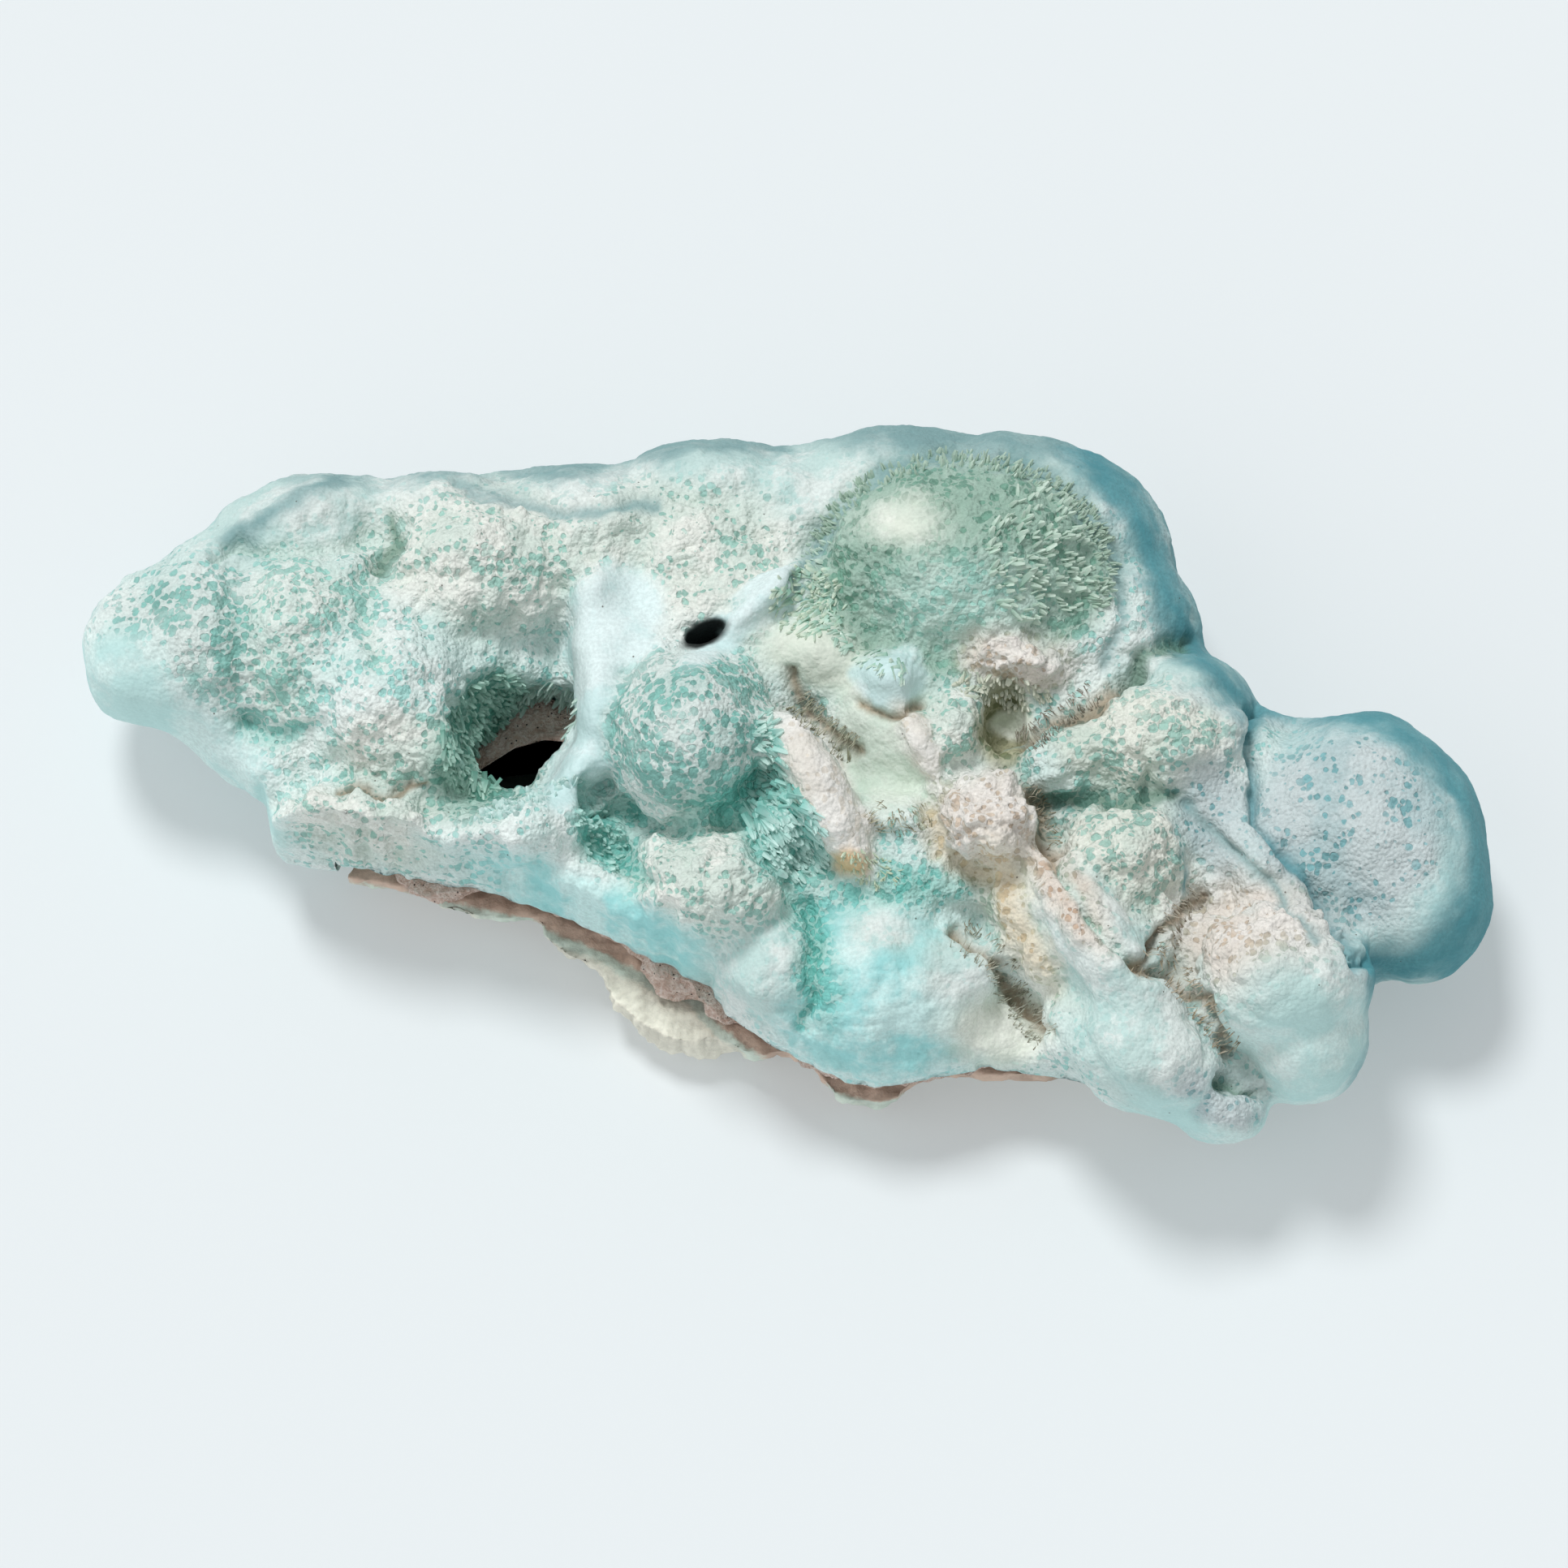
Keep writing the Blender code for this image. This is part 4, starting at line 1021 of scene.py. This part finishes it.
def bedSpots(bed, skinTree, chance):
    across, up, wide, tall, turn = bed["place"]
    c, s = math.cos(math.radians(turn)), math.sin(math.radians(turn))
    inner, outer = bed.get("ring", (0, 1))
    spots = []
    for _ in range(int(bed["count"] / (fine ** 2))):
        reach = math.sqrt(chance.uniform(inner ** 2, outer ** 2))
        angle = math.radians(chance.uniform(*bed.get("arc", (0, 360))))
        x, y = wide * reach * math.cos(angle), tall * reach * math.sin(angle)
        a, b = across + x * c - y * s, up + x * s + y * c
        spot, normal, _, _ = skinTree.ray_cast(*sightLine(a, b))
        if spot is None or spot.z < lowestFoot:
            continue
        (fromX, fromY), lean, jitter = bed["away"], bed["lean"], bedHabit["jitter"]
        way = leaning(normal, a - fromX, b - fromY, lean, jitter, chance).normalized()
        length = chance.uniform(*bed["length"]) * mm
        width = bed["width"] * chance.uniform(*bedHabit["width"]) * mm
        base = tinted(bed["base"], bedHabit["baseShade"], chance)
        tip = tinted(bed["tip"], bedHabit["tipShade"], chance)
        foot = spot - way * length * bed["sunk"]
        thick, twist = width * chance.uniform(*bedHabit["thickness"]), chance.uniform(0, 3.1)
        spots.append((foot, way, length, width, thick, twist, base, tip))
    return spots


def combSpots(comb, skinTree, chance):
    line = comb["line"]
    spots = []
    for _ in range(int(comb["count"] / fine)):
        k = chance.randrange(len(line) - 1)
        t = chance.random()
        (ax, ay), (bx, by) = line[k], line[k + 1]
        span = math.hypot(bx - ax, by - ay)
        px, py = -(by - ay) / span, (bx - ax) / span
        sideways = chance.choice((-1, 1)) * chance.uniform(*hairHabit["offset"]) * comb["reach"]
        a, b = ax + (bx - ax) * t + px * sideways, ay + (by - ay) * t + py * sideways
        spot, normal, _, _ = skinTree.ray_cast(*sightLine(a, b))
        if spot is None or spot.z < lowestFoot:
            continue
        lean, jitter = hairHabit["lean"], hairHabit["jitter"]
        way = leaning(normal, -px * sideways, -py * sideways, lean, jitter, chance).normalized()
        length = chance.uniform(*hairHabit["length"]) * mm
        width = chance.uniform(*hairHabit["width"]) * mm
        base = tinted(comb["base"], hairHabit["baseShade"], chance)
        tip = tinted(comb["tip"], hairHabit["tipShade"], chance)
        foot = spot - way * length * hairHabit["sunk"]
        spots.append((foot, way, length, width, width, 0, base, tip))
    return spots


# swellings of the rock, and the hollows in it that stand upright, as the lumps above
rockLumps = [
    ("frontBulge", -14.1, -24, 9.6, 4.6, 2.4, 2.6, -38),
    ("leftBulge", -43.6, -13.4, 10.4, 3.6, 1.6, 2.6, -5),
    ("edgeBulge", -8.8, -27, 10.4, 4, 1.6, 3, -52),
]
rockGap = ("rockGap", -32.6, 0.2, 10, 6.8, 2.8, 12, 27)
slitShadowLump = ("slitShadowFloor", -32.6, 0.2, 8.6, 7.8, 4, 0.9, 27)
rockPitPlace = (-32, 4, 10, 11, 0, 0.15)


def buildRock():
    bottom, top = layers["rockBottom"], layers["rockTop"]
    edge = uneven(rockFrontEdge, rock["edgeStep"], rock["edgeWander"], 8) + rockBackEdge
    slab = plateOver(edge, bottom - rock["spare"], top + rock["spare"], "matrixRockFine")
    slab = joined([slab, lumpsAsOne(rockLumps, "rockLumps")], "matrixRockFine")
    remeshed(slab, rock["voxel"] * fine)
    cutAway(slab, lumpsAsOne([rockGap], "rockGap", upright=True))
    remeshed(slab, rock["voxel"] * fine)
    mesh = slab.data
    points, normals = pointsOf(mesh), normalsOf(mesh)
    u, v = seenFrom(points)
    sunk = patchWeight(u, v, *rockPitPlace) * smoothStep(0.5, 0.9, normals[:, 2])
    here = points / mm
    front = 1 - smoothStep(0.3, 0.7, np.abs(normals[:, 2]))
    relief = rock["grainHeight"] * (roughNoise(here, rock["grainSize"], 301, 3) - 0.5)
    relief -= rock["lowering"]
    relief -= rock["pitDepth"] * sunk
    broken = roughNoise(here * np.array((1, 1, 1.6)), rock["breakSize"], 331, 3) - 0.6
    relief += rock["breakDepth"] * front * broken
    setPoints(mesh, points + normals * (relief * mm)[:, None])
    cutAway(slab, plateOver(behindBreak(rockBackEdge), bottom, top, "rockRoom"), "INTERSECT")
    # the lower edge of the band rises and falls, and the band runs out to the left
    mesh = slab.data
    points = pointsOf(mesh)
    here = points / mm
    along = roughNoise(here * np.array((1, 1, 0)), 5, 351, 3)
    thin = rock["thinning"] * smoothStep(0.35, 0.7, along)
    leftPart = 1 - smoothStep(*rock["leftEnd"], here[:, 0])
    thin = np.maximum(thin, rock["leftThinning"] * leftPart)
    points[:, 2] += thin * (top * mm - points[:, 2])
    setPoints(mesh, points)
    pickOnly(slab)
    bpy.ops.object.shade_smooth_by_angle(angle=rock["smoothAngle"])
    print("rock", triangleCount(slab), "triangles")
    return slab


def buildSlitShadow():
    # the dark bottom of the gap in the rock, at the foot of the large hole, a piece painted near
    # black as painted shadow of the deep slit
    floor = lumpsAsOne([slitShadowLump], "slitShadowFloor", upright=True)
    rolled(floor, "slitGrain", slitGrain["size"], slitGrain["height"])
    pickOnly(floor)
    bpy.ops.object.shade_smooth()
    return floor


def slitShadowFinish():
    f = Finish("slitShade")
    # painted shadow: near-black greys and greens for the deep slit
    color = f.blend(f.noise(1.2, 3.0, 0.6), solid(16, 26, 26), solid(46, 60, 56))
    return f.done(Base_Color=color, Roughness=0.9)


def drawnIn(outline, setback):
    middle = sum((Vector(corner) for corner in outline), Vector((0, 0))) / len(outline)
    drawn = []
    for corner in outline:
        arm = Vector(corner) - middle
        drawn.append(tuple(middle + arm * (1 - setback / arm.length)))
    return drawn


# the forms that show below the front edge, and the low feet, as the lumps above
undersideLumps = [
    ("frontFan", -13.4, -26.6, 5.5, 10, 6.2, 7, -30),
    ("frontFanTail", -4, -31.2, 6, 4.6, 2.6, 5, -20),
    ("cornerTongue", 10, -36, 6.6, 6, 4.2, 5, -12),
    ("leftLip", -36.6, -14.4, 7.2, 8.6, 2.6, 4, -8),
    ("middleLip", -24.6, -19.6, 6.6, 5.6, 2.8, 5, -25),
    ("footFront", 2, -19, 3.4, 15, 12, 8, 0),
    ("footLeft", -38, -1, 3.4, 14, 8, 8, 8),
    ("footLeftBack", -46, 17, 3.6, 12, 8, 8, 10),
    ("footMiddle", 0, 2, 3.4, 17, 12, 8, 0),
    ("footBack", 6, 22, 3.6, 20, 9, 8, 0),
    ("footRight", 34, -12, 3.4, 16, 13, 8, -20),
    ("footRightBack", 30, 10, 3.6, 10, 8, 8, 0),
    ("footEnd", 56, -12, 3.6, 9, 7, 8, -10),
    ("footCorner", 46, -25, 4, 6, 5, 7, -30),
]


def buildUnderside():
    sheetEdge = drawnIn(frontEdge + rockBackEdge, underside["sheetSetback"])
    sheet = plateOver(sheetEdge, underside["sheetBottom"], layers["rockTop"], "undersideFine")
    base = joined([sheet, lumpsAsOne(undersideLumps, "undersideLumps")], "undersideFine")
    remeshed(base, underside["fusingVoxel"])
    smoothed(base, 4)
    rolled(base, "low", underside["swellSize"], underside["swellHeight"])
    outline = behindBreak(drawnIn(rockBackEdge, underside["setback"]))
    top = layers["rockBottom"] - layers["gap"]
    cutAway(base, plateOver(outline, 0, top, "undersideRoom"), "INTERSECT")
    remeshed(base, underside["voxel"] * fine)
    mesh = base.data
    points, normals = pointsOf(mesh), normalsOf(mesh)
    here = points / mm
    cavity = cavityOf(mesh, points, normals, underside["cavityRounds"])
    u, v = seenFrom(points)
    # the fan in front has ribs that run outward
    across, up = underside["fanMiddle"]
    around = np.arctan2(v - up, u - across)
    waver = underside["ribWaver"] * roughNoise(here, 2.5, 411)
    ribs = np.abs(np.sin(underside["ribCount"] * around + waver))
    ribs *= smoothStep(*underside["fanEdge"], np.hypot(u - across, v - up))
    grain = roughNoise(here * np.array((1, 1, 0.4)), underside["grainSize"], 401, 2) - 0.5
    relief = underside["grainHeight"] * grain + underside["ribHeight"] * ribs
    relief -= underside["lowering"]
    relief *= smoothStep(0.3, 1.5, here[:, 2]) * smoothStep(-0.95, -0.6, normals[:, 2])
    setPoints(mesh, points + normals * (relief * mm)[:, None])
    band = lineDistance(u, v, frontEdge) + 1.2 * (roughNoise(here, 2.5, 431) - 0.5)
    # the second channel is the depth of the hollows, which the shader darkens as painted shade
    setPaint(mesh, "layerAndShadePaint", np.column_stack((
        np.clip(band / underside["bandWidth"], 0, 1), np.clip(0.5 + cavity * 0.5, 0, 1),
        ribs, grain + 0.5)))
    pickOnly(base)
    bpy.ops.object.shade_smooth()
    print("underside", triangleCount(base), "triangles")
    return base


# Shader maths: a Strand is one socket, and sums on it add their Math nodes.
class Strand:
    def __init__(self, finish, socket):
        self.finish, self.socket = finish, socket

    def summed(self, operation, other, flip=False):
        pair = (other, self) if flip else (self, other)
        return self.finish.node("ShaderNodeMath", {"operation": operation}, dict(enumerate(pair)))

    def __add__(self, other): return self.summed("ADD", other)
    def __radd__(self, other): return self.summed("ADD", other, True)
    def __sub__(self, other): return self.summed("SUBTRACT", other)
    def __rsub__(self, other): return self.summed("SUBTRACT", other, True)
    def __mul__(self, other): return self.summed("MULTIPLY", other)


class Finish:
    def __init__(self, name):
        self.material = bpy.data.materials.new(name)
        self.material.use_nodes = True
        self.tree = self.material.node_tree
        self.shader = self.tree.nodes["Principled BSDF"]

    def node(self, kind, settings, sockets, output=0):
        made = self.tree.nodes.new(kind)
        for key, value in settings.items():
            setattr(made, key, value)
        for key, value in sockets.items():
            self.feed(made.inputs[key], value)
        return Strand(self, made.outputs[output])

    def feed(self, target, value):
        if isinstance(value, Strand):
            self.tree.links.new(value.socket, target)
        else:
            target.default_value = value

    def paint(self, name, output="Color"):
        return self.node("ShaderNodeAttribute", {"attribute_name": name}, {}, output)

    def parts(self, color):
        red = self.node("ShaderNodeSeparateColor", {}, {0: color})
        return [Strand(self, red.socket.node.outputs[k]) for k in range(3)]

    def spot(self):
        return self.node("ShaderNodeTexCoord", {}, {}, "Object")

    def noise(self, size, detail=2.0, roughness=0.5):
        return self.node("ShaderNodeTexNoise", {}, {
            "Vector": self.spot(), "Scale": 1 / (size * mm),
            "Detail": detail, "Roughness": roughness})

    def cells(self, size, warp):
        # crystal cells: the distance to the middle of the cell, and two tones for each cell
        spot, scale = self.spot(), 1 / (size * mm)
        stray = self.node("ShaderNodeTexNoise", {}, {
            "Vector": spot, "Scale": scale, "Detail": 1.0}, "Color")
        moved = self.node("ShaderNodeVectorMath", {"operation": "MULTIPLY_ADD"}, {
            0: stray, 1: (warp * mm, warp * mm, warp * mm), 2: spot})
        cell = self.node("ShaderNodeTexVoronoi", {}, {"Vector": moved, "Scale": scale}, "Distance")
        first, second, _ = self.parts(Strand(self, cell.socket.node.outputs["Color"]))
        return cell, first, second

    def ramp(self, value, low, high, toLow=0.0, toHigh=1.0):
        return self.node("ShaderNodeMapRange", {"interpolation_type": "SMOOTHSTEP"}, {
            "Value": value, "From Min": low, "From Max": high, "To Min": toLow, "To Max": toHigh})

    def blend(self, factor, a, b, kind="MIX"):
        settings = {"data_type": "RGBA", "blend_type": kind}
        return self.node("ShaderNodeMix", settings, {0: factor, 6: a, 7: b}, 2)

    def shaded(self, color, factor, dark, light):
        # the colour times a grey between dark and light
        tone = self.blend(factor, (dark, dark, dark, 1), (light, light, light, 1))
        return self.blend(1.0, color, tone, "MULTIPLY")

    def specks(self, size, rarity):
        sockets = {"Vector": self.spot(), "Scale": 1 / (size * mm)}
        distance = self.node("ShaderNodeTexVoronoi", {}, sockets, "Distance")
        return self.ramp(distance, rarity, rarity * 0.6)

    def bump(self, height, distance, strength=1.0):
        return self.node("ShaderNodeBump", {}, {
            "Strength": strength, "Distance": distance * mm, "Height": height})

    def done(self, **sockets):
        for name, value in sockets.items():
            self.feed(self.shader.inputs[name.replace("_", " ")], value)
        return self.material


def solid(red, green, blue):
    return linear((red, green, blue)) + (1,)


def crustFinish():
    f = Finish("aragoniteCrust")
    deep, crest = f.paint("deepPaint"), f.paint("crestPaint")
    cover, gloss = f.paint("deepPaint", "Alpha"), f.paint("crestPaint", "Alpha")
    cells, cavity, milky = f.parts(f.paint("patternAndShade"))
    fineNoise, midNoise = f.noise(0.45, 3.0, 0.6), f.noise(1.6, 3.0, 0.55)
    middle, tone, second = f.cells(crust["cellSize"], 0.5)
    # the frosting fills the room between the cells and covers whole cells in places
    level = (cover - 0.25) * 2 + (tone - 0.5) * 0.7 + (midNoise - 0.5) * 0.7
    reach = f.ramp(level, 0.0, 1.1, 0.72, 0.06)
    bare = f.ramp(reach - middle + (fineNoise - 0.5) * 0.30, -0.06, 0.08)
    bare = bare * f.ramp(cells, 0.05, 0.75)
    bareColor = f.shaded(deep, second, 0.86, 1.16)
    bareColor = f.blend(f.ramp(milky + (midNoise - 0.5) * 0.9, 0.45, 1.0) * 0.5, bareColor, crest)
    snow = f.shaded(crest, f.ramp(fineNoise, 0.3, 0.7), 0.88, 1.05)
    clouds = f.ramp(milky + (midNoise - 0.5) * 0.8, 0.75, 0.25)
    snow = f.blend(clouds * f.ramp(cells, 0.05, 0.7, 0.75, 0.30), snow, deep)
    color = f.blend(bare, snow, bareColor)
    # painted shade: the hollows are darkened, the colour multiplied by the crystal colour
    sunk = f.ramp(cavity, 0.45, 0.90)
    color = f.blend(sunk * 0.5, color, f.blend(1.0, color, deep, "MULTIPLY"))
    color = f.blend(f.specks(3.4, 0.045) * 0.8, color, (0.05, 0.035, 0.02, 1))
    grains, _, _ = f.cells(0.55, 0.2)
    height = (1 - bare) * cells * 0.10 + fineNoise * (0.06 + cells * 0.10)
    height = height - grains * (cells * 0.22 + 0.04)
    return f.done(Base_Color=color, Roughness=0.8 - gloss * bare * 0.55, Normal=f.bump(height, 1.0))


def crystalFinish():
    f = Finish("crystalTips")
    color = f.shaded(f.paint("crystalPaint"), f.noise(0.6, 2.0, 0.6), 0.85, 1.12)
    return f.done(Base_Color=color, Roughness=0.45)


def rockFinish():
    f = Finish("matrixRock")
    grainNoise, coarse = f.noise(0.5, 3.0, 0.7), f.noise(3.0, 3.0, 0.6)
    color = f.blend(f.ramp(grainNoise, 0.32, 0.68), solid(212, 182, 166), solid(246, 230, 220))
    color = f.blend(f.ramp(coarse, 0.48, 0.70) * 0.6, color, solid(186, 150, 132))
    color = f.blend(f.specks(0.9, 0.17), color, solid(74, 56, 50))
    return f.done(Base_Color=color, Roughness=0.85, Normal=f.bump(grainNoise, 0.8))


def undersideFinish():
    f = Finish("undersideCrust")
    band, cavity, ribs = f.parts(f.paint("layerAndShadePaint"))
    flute = f.paint("layerAndShadePaint", "Alpha")
    fineNoise = f.noise(0.7, 3.0, 0.6)
    place = band + (fineNoise - 0.5) * 0.08
    stone, aqua, cream = solid(214, 188, 170), solid(214, 227, 214), solid(234, 231, 216)
    color = f.blend(f.ramp(place, 0.10, 0.16), stone, aqua)
    color = f.blend(f.ramp(place, 0.20, 0.28), color, cream)
    color = f.shaded(color, f.ramp(ribs, 0.0, 0.8), 0.92, 1.03)
    color = f.shaded(color, f.ramp(fineNoise * 0.5 + flute * 0.5, 0.35, 0.65), 0.82, 1.04)
    # painted shade: the hollows darken toward a dull tan
    color = f.blend(f.ramp(cavity, 0.5, 0.9) * 0.5, color, solid(150, 140, 112))
    return f.done(Base_Color=color, Roughness=0.7, Normal=f.bump(fineNoise, 0.3, 0.6))


# suns: strength, angle in degrees, direction
studio = {
    "floorSize": 6,
    "floorColour": (0.56, 0.60, 0.615, 1),
    "floorGlow": (0.215, 0.222, 0.226, 1),
    "air": (0.985, 0.995, 1.0, 1),
    "airStrength": 0.46,
    "suns": ((1.85, 16, (0.24, -0.38, -1.0)), (0.5, 70, (0.7, 0.5, -0.6))),
}


def addStage():
    bpy.ops.mesh.primitive_plane_add(size=studio["floorSize"], location=(0, 0, 0))
    floor = bpy.context.object
    floor.name = "floor"
    floor.data.materials.append(Finish("paleFloor").done(
        Base_Color=studio["floorColour"], Roughness=0.9,
        Emission_Color=studio["floorGlow"], Emission_Strength=1.0))
    world = bpy.data.worlds.new("softRoom")
    bpy.context.scene.world = world
    world.use_nodes = True
    world.node_tree.nodes["Background"].inputs[0].default_value = studio["air"]
    world.node_tree.nodes["Background"].inputs[1].default_value = studio["airStrength"]
    for strength, angle, direction in studio["suns"]:
        bpy.ops.object.light_add(type="SUN", location=(0, 0, 1))
        sun = bpy.context.object
        sun.data.energy = strength
        sun.data.angle = math.radians(angle)
        sun.rotation_euler = Vector(direction).to_track_quat("-Z", "Y").to_euler()
    bpy.context.scene.view_settings.view_transform = "Standard"


def addCamera():
    aim = placeSeen(0, 0, photoView["aimHeight"])
    toward = Vector((0, -cosView, sinView))
    bpy.ops.object.camera_add(location=aim + toward * photoView["distance"],
                              rotation=(math.pi / 2 - photoView["elevation"], 0, 0))
    camera = bpy.context.object
    camera.data.lens = camera.data.sensor_width * photoView["distance"] / photoView["width"]
    camera.data.clip_end = 10
    bpy.context.scene.camera = camera


def hand(piece, material, node):
    piece.data.materials.clear()
    piece.data.materials.append(material)
    faces = piece.data.polygons
    faces.foreach_set("material_index", np.zeros(len(faces), dtype=np.int32))
    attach(piece, "root")
    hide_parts(node)


deselectAll()
addCamera()
addStage()
skin = buildCrust()
carveAndPaint(skin)
skinTree = BVHTree.FromObject(skin, bpy.context.evaluated_depsgraph_get())
chance = random.Random(9)
crystalShape = modelCrystal(5, 0.72, 0.45)
hairShape = modelCrystal(3, 0.5, 0.3)
bedRows = [row for bed in crystalBeds.values() for row in bedSpots(bed, skinTree, chance)]
bedCrystals = planted("bedCrystals", crystalShape, bedRows)
hairRows = [row for comb in hairCombs for row in combSpots(comb, skinTree, chance)]
creviceHairs = planted("creviceHairs", hairShape, hairRows)
crustMaterial, crystalMaterial = crustFinish(), crystalFinish()
for piece in splitSkin(skin):
    hand(piece, crustMaterial, "aragonite_crust")
for piece in (bedCrystals, creviceHairs):
    hand(piece, crystalMaterial, "aragonite_crust")
hand(buildRock(), rockFinish(), "matrix_rock")
hand(buildSlitShadow(), slitShadowFinish(), "matrix_rock")
hand(buildUnderside(), undersideFinish(), "underside_crust")

print("done")
